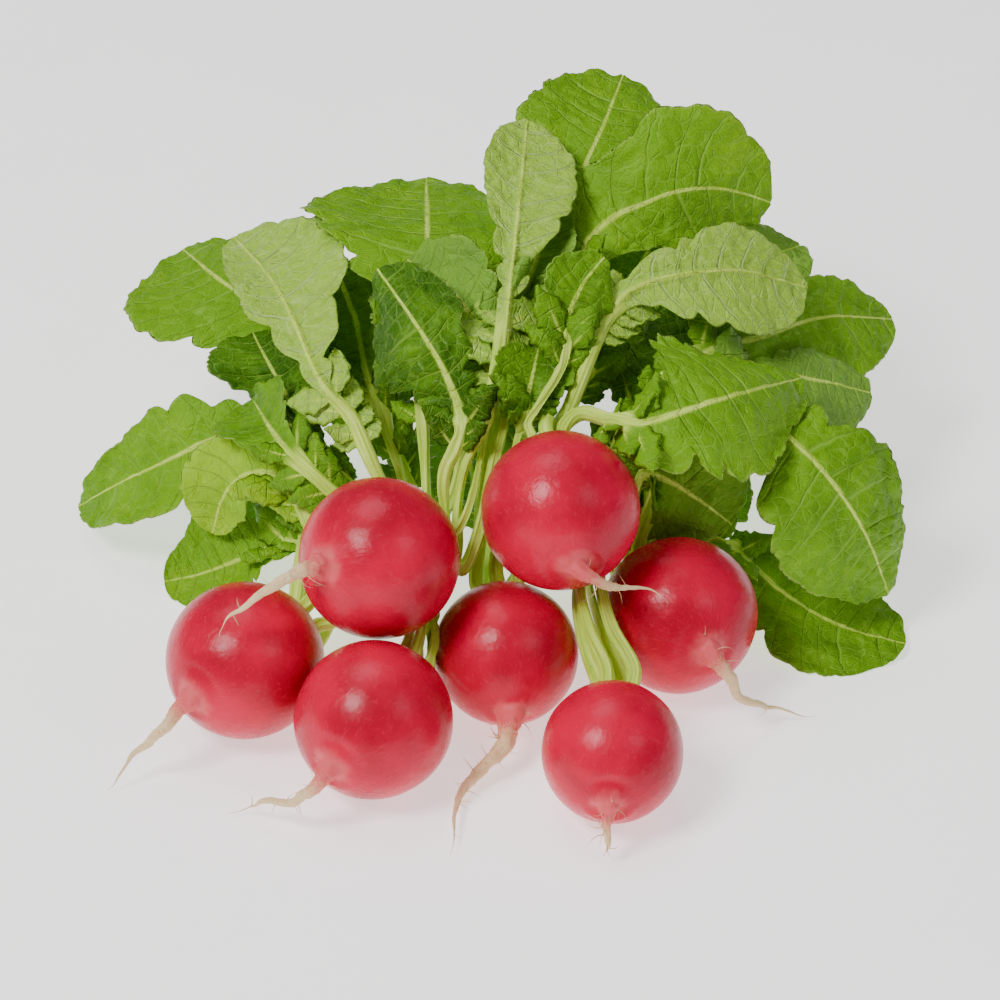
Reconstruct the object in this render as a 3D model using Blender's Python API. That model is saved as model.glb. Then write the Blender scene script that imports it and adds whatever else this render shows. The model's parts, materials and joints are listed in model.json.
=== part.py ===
"""A bunch of seven radishes lying on a surface, with their taproots in front and leaves fanned out behind.

Sizes in the tables are millimetres: x to the right, y towards the leaf tips, z up from the surface.
Each radish is one solid from crown to root tip, and each leaf is one solid from stalk to blade tip.
"""

import bmesh
import bpy
import numpy as np
from itertools import combinations
from math import atan2, cos, pi, radians, sin, sqrt
from mathutils import Vector
from mathutils.bvhtree import BVHTree

mm = 0.001
bulb_steps = 12  # rings from crown to root shoulder
bulb_sides = 16
crown_cut = 0.93  # the crown is flat beyond this share of the radius
foot_spread = 1.2  # above one, the stalk's rows are closer together at its foot
stalk_rows = 8
blade_rows = 9
columns = 5  # sheet points across a leaf, edge to edge
stalk_radius = 1.6
fullness = 1.18  # scales every half width in the table
blade_thickness = 0.9
rib_thickness = 2.0
groove_share = 0.62  # how far the groove along a stalk lies from its middle, as a share of its radius
flat_rib_share = 0.45  # how far the midrib stands out on the leaf's upper side, against the underside
dome_height = 0.15  # how far the ends of a leaf bulge
root_taper = 0.82  # the share of its width that a root loses on its way to the tip
shoulder = 1.6  # half width of the bulb where the root starts, over the root's own
first_gap = 0.7  # between the crown and the foot of a stalk
spare_room = 0.3  # kept on each side of a leaf while the leaves are laid apart
push_step = 0.5
push_rounds = 240
fold_rounds = 40
held_rows = 1  # rows of the sheet at the foot of a stalk that stay where they are
front_give = 0.4  # how far the front leaf of two gives way, as a share of the other
backward = Vector((0.0, 0.82, -0.57))  # leaves further down the table give way in this direction

# radius, centre, the root's half width at the skin, and its course from there to the tip
radishes = {
    "radish_top_right": dict(
        radius=16.3, centre=(12.3, 48.4, 44), root_width=1.5,
        root=[(15.5, 33, 41), (18, 31, 40), (22, 31.5, 37), (27, 34.5, 34),
              (31, 35, 32.5), (34, 34, 31)]),
    "radish_top_left": dict(
        radius=16.4, centre=(-24.5, 38.6, 39), root_width=2.0,
        root=[(-35, 28, 45), (-39, 24.5, 46), (-44, 22, 45), (-49, 21.5, 41),
              (-54, 22, 37), (-56, 21, 32.5)]),
    "radish_far_left": dict(
        radius=16.3, centre=(-52.5, 34.1, 16.3), root_width=1.9,
        root=[(-62, 21.5, 17), (-66, 18, 15), (-70, 15.5, 11), (-74, 14.5, 7),
              (-77, 13, 4), (-80, 10.5, 1.2)]),
    "radish_far_right": dict(
        radius=16.5, centre=(37.3, 49.2, 16.5), root_width=1.7,
        root=[(43, 33.5, 19), (45.5, 30, 17), (48, 29.5, 13.5), (51, 30.5, 9),
              (55, 32, 5), (60, 34, 3), (66, 35, 1.5)]),
    "radish_front_left": dict(
        radius=16.0, centre=(-25.5, 15.0, 16.0), root_width=1.8,
        root=[(-33.5, 1.5, 15), (-37, -2, 12), (-41, -1, 8.5), (-46, 1.5, 5.5),
              (-50, 4, 3), (-54.5, 4, 1.4)]),
    "radish_middle": dict(
        radius=15.0, centre=(1.2, 38.2, 15.0), root_width=2.2,
        root=[(2.4, 24, 11), (1.2, 20, 8), (-2.4, 15, 5), (-6.2, 9.5, 3.2),
              (-9, 5, 2.4), (-10, -1, 1.9), (-9.5, -9, 1.3)]),
    "radish_front_right": dict(
        radius=14.3, centre=(22.4, 6.9, 14.3), root_width=1.6,
        root=[(21.3, -7, 12.5), (21.2, -9.5, 9.5), (21.2, -10, 6), (20.6, -9.6, 3), (19.8, -10.5, 1.4)]),
}

# Leaves from the front of the bunch to its back. rib is the midrib's course, blade the share of it where
# the blade starts, left and right the half widths from there to the tip, seen from the side that up faces.
# cup lifts the left and right halves towards up, in degrees at the rib and at the edge. under marks a
# leaf whose ribbed underside faces up, and floor one that rests on the surface.
leaves = {
    "leaf_right_arched": dict(
        radish="radish_top_right", blade=0.26, up=(0.1, -0.55, 0.83), cup=(-8, -38, -8, -42),
        rib=[(17, 69, 54), (24, 60, 58), (31, 55, 61), (40, 58, 63), (51, 68, 60), (64, 87, 51)],
        left=[5, 12, 15, 15, 12, 8, 3], right=[5, 10, 12, 11, 9, 6, 3]),
    "leaf_right_hanging": dict(
        radish="radish_far_right", blade=0.32, up=(0.35, -0.7, 0.6), cup=(-4, -22, -4, -22),
        rib=[(36, 76, 38), (46, 76, 49), (56, 71, 51), (68, 64, 42), (77, 62, 28), (83, 64, 11)],
        left=[4, 10, 13, 14, 12, 9, 3], right=[4, 10, 14, 15, 14, 10, 3]),
    "leaf_right_wrinkled": dict(
        radish="radish_far_right", blade=0.32, up=(-0.1, -0.8, 0.6), cup=(5, 25, -5, -20),
        rib=[(29, 75, 31), (34, 66, 40), (41, 64, 36), (49, 66, 28)],
        left=[4, 8, 10, 9, 6, 3], right=[4, 8, 10, 9, 6, 3]),
    "leaf_right_low": dict(
        radish="radish_far_right", blade=0.27, up=(0, -0.15, 1), cup=(-3, -14, 0, -12), floor=True,
        rib=[(40, 74, 20), (51, 74, 16), (62, 68, 9), (74, 62, 5), (87, 59, 3)],
        left=[8, 15, 18, 19, 17, 12, 4], right=[5, 9, 11, 12, 11, 8, 3]),
    "leaf_centre_small": dict(
        radish="radish_top_right", blade=0.34, up=(0.1, -0.8, 0.6), cup=(0, 30, 0, -25),
        rib=[(12, 76, 58), (14, 87, 65), (17, 93, 70), (22, 99, 74)],
        left=[2, 4, 6, 7, 5, 2], right=[2, 4, 6, 7, 5, 2]),
    "leaf_centre_front": dict(
        radish="radish_top_right", blade=0.22, up=(0, -0.85, 0.5), cup=(8, 30, 0, 20),
        rib=[(5, 67, 52), (6, 73, 57), (8, 83, 61)],
        left=[3, 6, 7, 6, 5, 3], right=[3, 5, 6, 6, 5, 3]),
    "leaf_tall_pale": dict(
        radish="radish_top_left", blade=0.43, up=(0.1, -0.9, 0.4), cup=(0, 12, 0, 14), under=True,
        rib=[(-8, 60, 42), (-3.5, 66, 50), (-0.8, 76, 60), (0.4, 84, 64), (2.3, 96,
             71), (4.1, 116, 78), (6, 144, 82)],
        left=[2, 3, 5, 6, 7, 6, 3], right=[2, 4, 7, 9, 10, 8, 3]),
    "leaf_glossy_cupped": dict(
        radish="radish_top_left", blade=0.29, up=(-0.2, -0.85, 0.5), cup=(-10, -45, -10, -35),
        rib=[(-11.5, 61, 44), (-8, 67, 52), (-11, 74, 60), (-17, 82, 67), (-26, 99, 71)],
        left=[4, 9, 13, 14, 12, 8, 3], right=[3, 5, 6, 7, 7, 6, 3]),
    "leaf_left_pale": dict(
        radish="radish_top_left", blade=0.27, up=(0.1, -0.75, 0.65), cup=(0, 15, 0, 18), under=True,
        rib=[(-25, 62, 42), (-31, 73, 50), (-38, 79, 56), (-43, 92, 60), (-50, 113, 60), (-60, 141, 54)],
        left=[2, 4, 7, 7, 6, 5, 2], right=[2, 7, 12, 14, 14, 10, 4]),
    "leaf_left_folded": dict(
        radish="radish_front_left", blade=0.39, up=(-0.2, -0.8, 0.6), cup=(20, 50, 5, 35),
        rib=[(-35, 70, 33), (-43, 76, 37), (-49, 88, 37), (-54, 106, 33)],
        left=[3, 6, 8, 8, 6, 2], right=[3, 6, 7, 7, 5, 2]),
    "leaf_centre_folded": dict(
        radish="radish_top_left", blade=0.32, up=(0, -0.8, 0.6), cup=(0, 50, 0, 20),
        rib=[(-2.5, 76, 53), (-3.5, 87, 61), (-11, 99, 66), (-20, 111, 66)],
        left=[3, 7, 10, 9, 7, 4], right=[3, 6, 8, 8, 6, 4]),
    "leaf_centre_rolled": dict(
        radish="radish_top_left", blade=0.38, up=(0.3, -0.8, 0.5), cup=(30, 80, 30, 80),
        rib=[(2.5, 80, 56), (3.6, 95, 63), (7.5, 109, 67), (13, 129, 69)],
        left=[2, 4, 5, 5, 4, 2], right=[2, 4, 6, 6, 4, 2]),
    "leaf_right_pale": dict(
        radish="radish_top_right", blade=0.34, up=(0.05, -0.6, 0.8), cup=(0, 12, 0, 14), under=True,
        rib=[(17, 78, 57), (22, 91, 62), (28, 98, 66), (38, 101, 68), (52, 108, 65), (67, 116, 56)],
        left=[3, 5, 7, 8, 8, 6, 2], right=[3, 8, 11, 12, 12, 9, 3]),
    "leaf_right_broad": dict(
        radish="radish_top_right", blade=0.35, up=(-0.1, -0.75, 0.65), cup=(0, 14, -6, -30),
        rib=[(13, 84, 60), (16, 107, 66), (23, 118, 72), (36, 124, 75), (48, 130, 73), (60, 136, 66)],
        left=[6, 15, 9, 14, 14, 11, 4], right=[4, 9, 12, 13, 12, 9, 4]),
    "leaf_right_inner": dict(
        radish="radish_far_right", blade=0.38, up=(0, -0.5, 0.85), cup=(0, -20, 0, -15),
        rib=[(40, 84, 40), (48, 92, 44), (58, 98, 45), (70, 103, 40), (82, 109, 33)],
        left=[3, 5, 7, 7, 6, 3], right=[3, 7, 10, 10, 8, 3]),
    "leaf_left_fan": dict(
        radish="radish_far_left", blade=0.38, up=(-0.2, -0.7, 0.7), cup=(0, 25, 0, 15),
        rib=[(-40, 68, 24), (-46, 80, 29), (-54, 85, 28), (-60, 87, 21), (-63, 85, 12)],
        left=[2, 5, 7, 7, 5, 2], right=[2, 6, 9, 9, 7, 2]),
    "leaf_left_inner": dict(
        radish="radish_far_left", blade=0.34, up=(0, -0.6, 0.8), cup=(10, 40, 0, 20),
        rib=[(-36, 68, 22), (-40, 78, 24), (-47, 90, 23)],
        left=[3, 5, 6, 6, 4, 2], right=[3, 5, 6, 6, 4, 2]),
    "leaf_left_dark": dict(
        radish="radish_front_left", blade=0.38, up=(0, -0.6, 0.8), cup=(5, 20, 5, 15),
        rib=[(-30, 74, 30), (-41, 83, 38), (-47, 96, 42), (-55, 124, 39)],
        left=[3, 7, 9, 9, 8, 4], right=[3, 7, 9, 8, 6, 3]),
    "leaf_left_low": dict(
        radish="radish_far_left", blade=0.32, up=(0, -0.4, 0.9), cup=(0, 22, 10, 35), floor=True,
        rib=[(-41, 72, 18), (-48, 80, 14), (-57, 82, 9), (-66, 82, 5), (-74, 82, 3)],
        left=[4, 7, 8, 8, 7, 3], right=[4, 8, 10, 10, 7, 3]),
    "leaf_right_far": dict(
        radish="radish_front_right", blade=0.46, up=(0.1, -0.5, 0.85), cup=(0, 15, 0, -20),
        rib=[(22, 68, 28), (29, 84, 44), (43, 95, 52), (57, 104, 51), (72, 120, 46), (89, 135, 36)],
        left=[3, 6, 8, 8, 7, 3], right=[3, 7, 10, 12, 10, 4]),
    "leaf_right_shaded": dict(
        radish="radish_front_right", blade=0.41, up=(0, -0.5, 0.85), cup=(0, 10, 0, -10),
        rib=[(21, 70, 26), (28, 88, 40), (42, 100, 47), (63, 117, 43)],
        left=[3, 8, 10, 10, 8, 3], right=[3, 8, 10, 10, 8, 3]),
    "leaf_left_long": dict(
        radish="radish_far_left", blade=0.27, up=(-0.1, -0.6, 0.8), cup=(10, 45, 0, 12),
        rib=[(-42, 84, 24), (-53, 96, 29), (-63, 98, 28), (-74, 98, 22), (-85, 101, 14), (-95, 105, 5)],
        left=[3, 8, 12, 12, 11, 8, 2], right=[3, 9, 11, 9, 7, 5, 2]),
    "leaf_left_round": dict(
        radish="radish_front_left", blade=0.41, up=(-0.1, -0.45, 0.9), cup=(0, 10, 0, -14),
        rib=[(-27, 80, 34), (-44, 112, 44), (-54, 124, 46), (-64, 138, 45), (-74, 161, 39)],
        left=[5, 12, 16, 17, 15, 11, 4], right=[4, 11, 16, 17, 15, 11, 4]),
    "leaf_back_round": dict(
        radish="radish_front_left", blade=0.39, up=(0, -0.7, 0.7), cup=(0, 14, 0, -14),
        rib=[(-15, 71, 40), (-18, 90, 52), (-18, 101, 60), (-16, 120, 66), (-17, 159, 59)],
        left=[6, 13, 17, 18, 16, 11, 4], right=[5, 11, 14, 15, 14, 10, 4]),
    "leaf_behind_centre": dict(
        radish="radish_top_left", blade=0.3, up=(0, -0.7, 0.7), cup=(0, 12, 0, 12),
        rib=[(-6, 82, 42), (-6, 106, 53), (-7, 130, 58)],
        left=[5, 11, 14, 14, 12, 9, 4], right=[5, 11, 14, 14, 12, 9, 4]),
    "leaf_behind_right": dict(
        radish="radish_top_right", blade=0.3, up=(0.1, -0.7, 0.7), cup=(0, 12, 0, 12),
        rib=[(14, 84, 44), (25, 110, 53), (35, 138, 56)],
        left=[5, 11, 14, 14, 12, 9, 4], right=[5, 11, 14, 14, 12, 9, 4]),
    "leaf_behind_left": dict(
        radish="radish_front_left", blade=0.3, up=(0, -0.7, 0.7), cup=(0, 12, 0, 12),
        rib=[(-24, 86, 38), (-31, 104, 48), (-36, 130, 52)],
        left=[5, 11, 15, 16, 14, 10, 4], right=[5, 11, 15, 16, 14, 10, 4]),
    "leaf_behind_far_right": dict(
        radish="radish_far_right", blade=0.3, up=(0.1, -0.6, 0.8), cup=(0, 12, 0, 12),
        rib=[(34, 86, 34), (50, 108, 43), (70, 128, 40)],
        left=[4, 10, 13, 14, 12, 9, 4], right=[4, 10, 13, 14, 12, 9, 4]),
    "leaf_back_small": dict(
        radish="radish_middle", blade=0.45, up=(0, -0.7, 0.7), cup=(0, 14, 0, 14),
        rib=[(-2, 78, 44), (-2, 104, 58), (-2.4, 120, 63), (-3.4, 145, 60)],
        left=[3, 5, 6, 6, 5, 3], right=[3, 5, 6, 6, 5, 3]),
    "leaf_back_top": dict(
        radish="radish_middle", blade=0.38, up=(0, -0.6, 0.8), cup=(0, 12, 0, -18),
        rib=[(5, 76, 44), (9, 99, 61), (13, 118, 72), (18, 131, 77), (23, 146, 80), (28, 171, 79)],
        left=[3, 9, 13, 15, 14, 11, 5], right=[3, 9, 13, 15, 14, 11, 5]),
    "leaf_right_back": dict(
        radish="radish_far_right", blade=0.38, up=(0, -0.5, 0.85), cup=(0, 10, 0, 10),
        rib=[(30, 90, 38), (38, 112, 50), (52, 126, 54), (68, 144, 50)],
        left=[3, 6, 8, 8, 7, 3], right=[3, 6, 8, 8, 7, 3]),
    "leaf_low_dark": dict(
        radish="radish_middle", blade=0.34, up=(0, -0.5, 0.85), cup=(0, -10, 0, -10),
        rib=[(12, 66, 28), (22, 69, 29), (33, 72, 27), (44, 74, 24)],
        left=[3, 6, 8, 8, 6, 3], right=[3, 6, 8, 8, 6, 3]),
    "leaf_inside_middle": dict(
        radish="radish_middle", blade=0.32, up=(0, -0.3, 0.95), cup=(0, 10, 0, 10),
        rib=[(4, 82, 30), (7, 112, 38), (11, 150, 34)],
        left=[3, 10, 14, 16, 14, 10, 4], right=[3, 10, 14, 16, 14, 10, 4]),
    "leaf_inside_left": dict(
        radish="radish_front_left", blade=0.32, up=(0, -0.3, 0.95), cup=(0, 10, 0, 10),
        rib=[(-20, 82, 28), (-30, 110, 32), (-40, 142, 28)],
        left=[3, 10, 13, 15, 13, 9, 4], right=[3, 10, 13, 15, 13, 9, 4]),
    "leaf_inside_right": dict(
        radish="radish_front_right", blade=0.38, up=(0, -0.3, 0.95), cup=(0, 10, 0, 10),
        rib=[(21, 76, 22), (38, 100, 34), (60, 126, 30)],
        left=[3, 9, 13, 14, 12, 9, 4], right=[3, 9, 13, 14, 12, 9, 4]),
    "leaf_back_low": dict(
        radish="radish_middle", blade=0.30, up=(0, -0.1, 1), cup=(0, -6, 0, -6), floor=True,
        rib=[(-3, 80, 15), (-6, 112, 9), (-9, 152, 4)],
        left=[3, 9, 14, 15, 14, 10, 4], right=[3, 9, 14, 15, 14, 10, 4]),
    "leaf_back_right_low": dict(
        radish="radish_front_right", blade=0.34, up=(0, -0.1, 1), cup=(0, -6, 0, -6), floor=True,
        rib=[(19, 72, 18), (34, 104, 9), (54, 132, 4)],
        left=[3, 9, 13, 14, 12, 9, 4], right=[3, 9, 13, 14, 12, 9, 4]),
    "leaf_back_left_low": dict(
        radish="radish_far_left", blade=0.30, up=(0, -0.1, 1), cup=(0, -6, 0, -6), floor=True,
        rib=[(-34, 78, 15), (-46, 104, 9), (-60, 130, 4)],
        left=[3, 9, 13, 14, 12, 9, 4], right=[3, 9, 13, 14, 12, 9, 4]),
}

# the stalks of these two are led between the other radishes through one more point
passages = {"radish_front_right": (18.5, 43, 24), "radish_front_left": (-16, 58, 18)}


def clearScene():
    for thing in list(bpy.data.objects):
        bpy.data.objects.remove(thing, do_unlink=True)


def makeMaterial(name, colour, roughness):
    material = bpy.data.materials.new(name)
    material.use_nodes = True
    shader = material.node_tree.nodes["Principled BSDF"]
    shader.inputs["Base Color"].default_value = (*colour, 1.0)
    shader.inputs["Roughness"].default_value = roughness
    shader.inputs["Metallic"].default_value = 0.0
    material.diffuse_color = (*colour, 1.0)
    return material


def smoothCourse(points, count):
    """Evenly spaced points on a Catmull-Rom curve through the given ones."""
    p = np.array(points, float)
    p = np.vstack([2 * p[0] - p[1], p, 2 * p[-1] - p[-2]])
    fine = []
    for i in range(1, len(p) - 2):
        for t in np.linspace(0, 1, 24, endpoint=False):
            a, b, c, d = p[i - 1], p[i], p[i + 1], p[i + 2]
            fine.append(0.5 * (2 * b + (c - a) * t + (2 * a - 5 * b + 4 * c - d) * t * t
                               + (3 * b - a - 3 * c + d) * t ** 3))
    fine.append(p[-2])
    fine = np.array(fine)
    run = np.concatenate([[0], np.cumsum(np.linalg.norm(np.diff(fine, axis=0), axis=1))])
    stops = np.linspace(0, run[-1], count)
    return np.stack([np.interp(stops, run, fine[:, k]) for k in range(3)], 1)


def crownFrame(radish):
    """The crown's outward axis and two directions across it."""
    axis = (Vector(radish["centre"]) - Vector(radish["root"][0])).normalized()
    side = axis.cross(Vector((0, 0, 1))).normalized()
    return axis, side, side.cross(axis)


def bulbCourse(radish):
    """Centres and radii of the rings from the flat crown, over the globe and shoulder, to the root tip."""
    centre, radius = Vector(radish["centre"]), radish["radius"]
    axis = crownFrame(radish)[0]
    root = [Vector(p) for p in radish["root"]]
    course, radii = [], []
    first = np.arccos(crown_cut)
    last = pi - np.arcsin(shoulder * radish["root_width"] / radius)
    for angle in np.linspace(first, last, bulb_steps):
        course.append(centre + axis * radius * cos(angle))
        radii.append(radius * sin(angle))
    tail = smoothCourse(root, 9)[1:]
    for i, point in enumerate(tail):
        course.append(Vector(point))
        radii.append(radish["root_width"] * (1 - root_taper * (i / (len(tail) - 1)) ** 0.8))
    return course, radii


def makeRadish(name, radish, material, group):
    course, radii = bulbCourse(radish)
    data = bpy.data.curves.new(name + "_course", "CURVE")
    data.dimensions = "3D"
    data.bevel_depth = mm
    data.bevel_resolution = (bulb_sides - 4) // 2
    data.use_fill_caps = True
    spline = data.splines.new("POLY")
    spline.points.add(len(course) - 1)
    for point, place, size in zip(spline.points, course, radii):
        point.co = (*(place * mm), 1.0)
        point.radius = size
    guide = bpy.data.objects.new(name + "_course", data)
    group.objects.link(guide)
    seen = guide.evaluated_get(bpy.context.evaluated_depsgraph_get())
    mesh = bpy.data.meshes.new_from_object(seen)
    bpy.data.objects.remove(guide, do_unlink=True)
    weldMesh(mesh)
    mesh.name = name
    mesh.materials.clear()
    mesh.materials.append(material)
    mesh.shade_smooth()
    solid = bpy.data.objects.new(name, mesh)
    group.objects.link(solid)
    return solid


def weldMesh(mesh):
    work = bmesh.new()
    work.from_mesh(mesh)
    bmesh.ops.remove_doubles(work, verts=work.verts, dist=0.00001)
    bmesh.ops.recalc_face_normals(work, faces=work.faces)
    work.to_mesh(mesh)
    work.free()


def standStalks():
    """Spreads the feet of each radish's stalks round its crown, in the order in which they lean away."""
    feet = {}
    for name, radish in radishes.items():
        axis, side, rise = crownFrame(radish)
        top = Vector(radish["centre"]) + axis * (radish["radius"] * crown_cut + first_gap)
        reach = radish["radius"] * sqrt(1 - crown_cut ** 2) - stalk_radius - spare_room
        own = [leaf for leaf in leaves if leaves[leaf]["radish"] == name]
        lean = {}
        for leaf in own:
            away = Vector(leaves[leaf]["rib"][0]) - top
            lean[leaf] = atan2(away.dot(rise), away.dot(side)) % (2 * pi)
        own.sort(key=lean.get)
        step = 2 * pi / len(own)
        offs = [lean[leaf] - i * step for i, leaf in enumerate(own)]
        start = atan2(sum(sin(a) for a in offs), sum(cos(a) for a in offs))
        for i, leaf in enumerate(own):
            turn = start + i * step
            across = (side * cos(turn) + rise * sin(turn)) * reach
            feet[leaf] = (top + across, axis, across)
    return feet


def leafCourse(leaf, foot, axis, across):
    """The midrib from the crown, through any passage between the radishes, to the blade's tip."""
    points = [foot, foot + axis * 2.5, foot + axis * 6 + across * 0.3]
    if leaf["radish"] in passages:
        points.append(Vector(passages[leaf["radish"]]) + across * 0.75)
    return points + [Vector(p) for p in leaf["rib"]]


def bendAcross(width, share, first, last):
    """How far out and up a point lies on a half blade that bends from the first angle to the last."""
    out = rise = 0.0
    steps = 6
    for i in range(steps):
        angle = radians(first + (last - first) * share * (i + 0.5) / steps)
        out += cos(angle) * width * share / steps
        rise += sin(angle) * width * share / steps
    return out, rise


def leafRows(leaf, stand):
    """The midrib's point, direction and share of the blade at each row of the leaf's sheet."""
    points = leafCourse(leaf, *stand)
    course = smoothCourse(points, 200)
    split = int(200 * (1 - (1 - leaf["blade"]) * ribShare(points, leaf)))
    lower = split * np.linspace(0, 1, stalk_rows, endpoint=False) ** foot_spread
    picks = np.concatenate([lower, np.linspace(split, 199, blade_rows)])
    rib = course[picks.astype(int)]
    ahead = np.gradient(rib, axis=0)
    ahead[0] = stand[1]
    return rib, ahead / np.linalg.norm(ahead, axis=1)[:, None]


def halfBlade(leaf, share, along):
    """How far out and up a point of the blade lies from the midrib."""
    widths, cup = (leaf["left"], leaf["cup"][:2]) if share < 0 else (leaf["right"], leaf["cup"][2:])
    width = fullness * np.interp(along, np.linspace(0, 1, len(widths)), widths)
    return bendAcross(width, abs(share), *cup)


def leafSheet(leaf, stand):
    """The leaf's middle surface as rows of points across it, and half the thickness at each of them."""
    rib, ahead = leafRows(leaf, stand)
    up = np.array(leaf["up"], float)
    sheet, half = np.zeros((len(rib), columns, 3)), np.zeros((len(rib), columns))
    for i, forward in enumerate(ahead):
        over = up - forward * up.dot(forward)
        over /= np.linalg.norm(over)
        side = np.cross(forward, over)
        along = (i - stalk_rows) / (blade_rows - 1)
        for k in range(columns):
            share = 2 * k / (columns - 1) - 1
            out, rise = (stalk_radius * abs(share), 0) if along < 0 else halfBlade(leaf, share, along)
            sheet[i, k] = rib[i] + side * out * (1 if share > 0 else -1) + over * rise
            if along < 0:
                half[i, k] = stalk_radius * sqrt(1 - share * share)
            elif share:
                half[i, k] = 0.5 * blade_thickness * (abs(share) < 1)
            else:
                half[i, k] = stalk_radius + (0.5 * rib_thickness - stalk_radius) * min(1, 2 * along)
    return sheet, half


def ribShare(points, leaf):
    """The share of the whole course that lies along the given rib."""
    steps = [(b - a).length for a, b in zip(points, points[1:])]
    return sum(steps[-(len(leaf["rib"]) - 1):]) / sum(steps)


def sheetNormals(sheet):
    across = np.gradient(sheet, axis=1)
    along = np.gradient(sheet, axis=0)
    normal = np.cross(across, along)
    return normal / np.linalg.norm(normal, axis=2, keepdims=True)


def leafSolid(sheet, half, under, room=0.0):
    """Vertices and triangles of the closed leaf: rings round the sheet, with a low dome on each end."""
    normal = sheetNormals(sheet)
    edge = columns - 1
    ring = [(k, 1) for k in range(columns)] + [(k, -1) for k in range(edge - 1, 0, -1)]
    sides = len(ring)
    verts = []
    for i in range(len(sheet)):
        for k, face in ring:
            lift = half[i, k] + room
            if k in (0, edge):
                way = sheet[i, k] - sheet[i, edge - k]
                verts.append(sheet[i, k] + way / np.linalg.norm(way) * room)
                continue
            if k == edge // 2 and (face < 0) == under:
                lift *= groove_share if i < stalk_rows else flat_rib_share
            verts.append(sheet[i, k] + normal[i, k] * face * lift)
    faces = []
    for i in range(len(sheet) - 1):
        for k in range(sides):
            a, b = i * sides + k, i * sides + (k + 1) % sides
            faces += [(a, b, b + sides), (a, b + sides, a + sides)]
    for row, way in ((0, -1), (len(sheet) - 1, 1)):
        middle = sheet[row, edge // 2]
        step = sheet[row, edge // 2] - sheet[row - way, edge // 2]
        verts.append(middle + step / np.linalg.norm(step) * (dome_height + room))
        for k in range(sides):
            a, b = row * sides + k, row * sides + (k + 1) % sides
            faces.append((b, a, len(verts) - 1) if way < 0 else (a, b, len(verts) - 1))
    return np.array(verts), faces


def smoothShift(shift):
    """Evens out the leaf's displacements along and across it, with its foot held."""
    padded = np.concatenate([shift[:1], shift, shift[-1:]])
    shift = 0.25 * padded[:-2] + 0.5 * padded[1:-1] + 0.25 * padded[2:]
    across = np.concatenate([shift[:, :1], shift, shift[:, -1:]], axis=1)
    shift = 0.25 * across[:, :-2] + 0.5 * across[:, 1:-1] + 0.25 * across[:, 2:]
    shift[:2] *= np.array([0, 0.5])[:, None, None]
    return shift


def leafMesh(name, sheet, half, room=0.0):
    """The leaf's vertices and faces, with a search tree over them."""
    verts, faces = leafSolid(sheet, half, leaves[name].get("under", False), room)
    return verts, faces, BVHTree.FromPolygons(verts.tolist(), faces)


def boxesMeet(one, other):
    return (one.min(0) <= other.max(0)).all() and (other.min(0) <= one.max(0)).all()


def sheetSpots(faces, picked):
    """The sheet points under the corners of the picked faces."""
    return {sheetPoint(corner) for face in picked for corner in faces[face]}


def pushPair(first, second, meshes, placed, moves):
    """Notes which way the points of two leaves give way where their faces cross. Returns the crossings."""
    (verts_a, faces_a, tree_a), (verts_b, faces_b, tree_b) = meshes[first], meshes[second]
    if not boxesMeet(verts_a, verts_b):
        return 0
    crossings = tree_a.overlap(tree_b)
    for one, other in crossings:
        touch = (verts_a[list(faces_a[one])].mean(0) + verts_b[list(faces_b[other])].mean(0)) / 2
        spots_a, spots_b = sheetSpots(faces_a, [one]), sheetSpots(faces_b, [other])
        round_pair = max(row for row, k in spots_a | spots_b) < stalk_rows
        for name, spots, sign in ((first, spots_a, -front_give), (second, spots_b, 1)):
            for row, k in spots:
                away = placed[name][row, columns // 2] - touch
                outward = away / (np.linalg.norm(away) + 0.01)
                moves[name][row, k] = outward if round_pair else np.array(backward) * sign
    return len(crossings)


def pushOffBulbs(name, mesh, trees, placed, moves):
    """Notes which way a leaf gives way where it crosses a radish. Returns the crossings."""
    verts, faces, tree = mesh
    count = 0
    for radish, skin in trees.items():
        crossed = [face for face, other in tree.overlap(skin)]
        count += len(crossed)
        for row, k in sheetSpots(faces, crossed):
            moves[name][row, k] = outOfRadish(Vector(placed[name][row, k]), radishes[radish])
    return count


def ownCrossings(name, sheet, half):
    """The sheet points under the leaf's faces that cross other faces of the same leaf."""
    verts, faces, tree = leafMesh(name, sheet, half)
    pairs = [pair for pair in tree.overlap(tree) if not set(faces[pair[0]]) & set(faces[pair[1]])]
    return sheetSpots(faces, [face for pair in pairs for face in pair])


def evenOut(values, spots):
    """Replaces the values at the given sheet points and round them by their neighbours' mean."""
    last = len(values) - 1
    wide = {(row + i, k + j) for row, k in spots for i in (-1, 0, 1) for j in (-1, 0, 1)}
    even = values.copy()
    for row, k in wide:
        if held_rows <= row <= last and 0 <= k < columns:
            near = [values[row - 1, k], values[min(row + 1, last), k]]
            near += [values[row, max(k - 1, 0)], values[row, min(k + 1, columns - 1)]]
            even[row, k] = np.mean(near, axis=0)
    return even


def openFolds(name, sheet, half):
    """Smooths the sheet where it was drawn so tightly that the leaf would cross itself."""
    for turn in range(fold_rounds):
        spots = ownCrossings(name, sheet, half)
        if not spots:
            break
        sheet = evenOut(sheet, spots)
    return sheet


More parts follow.
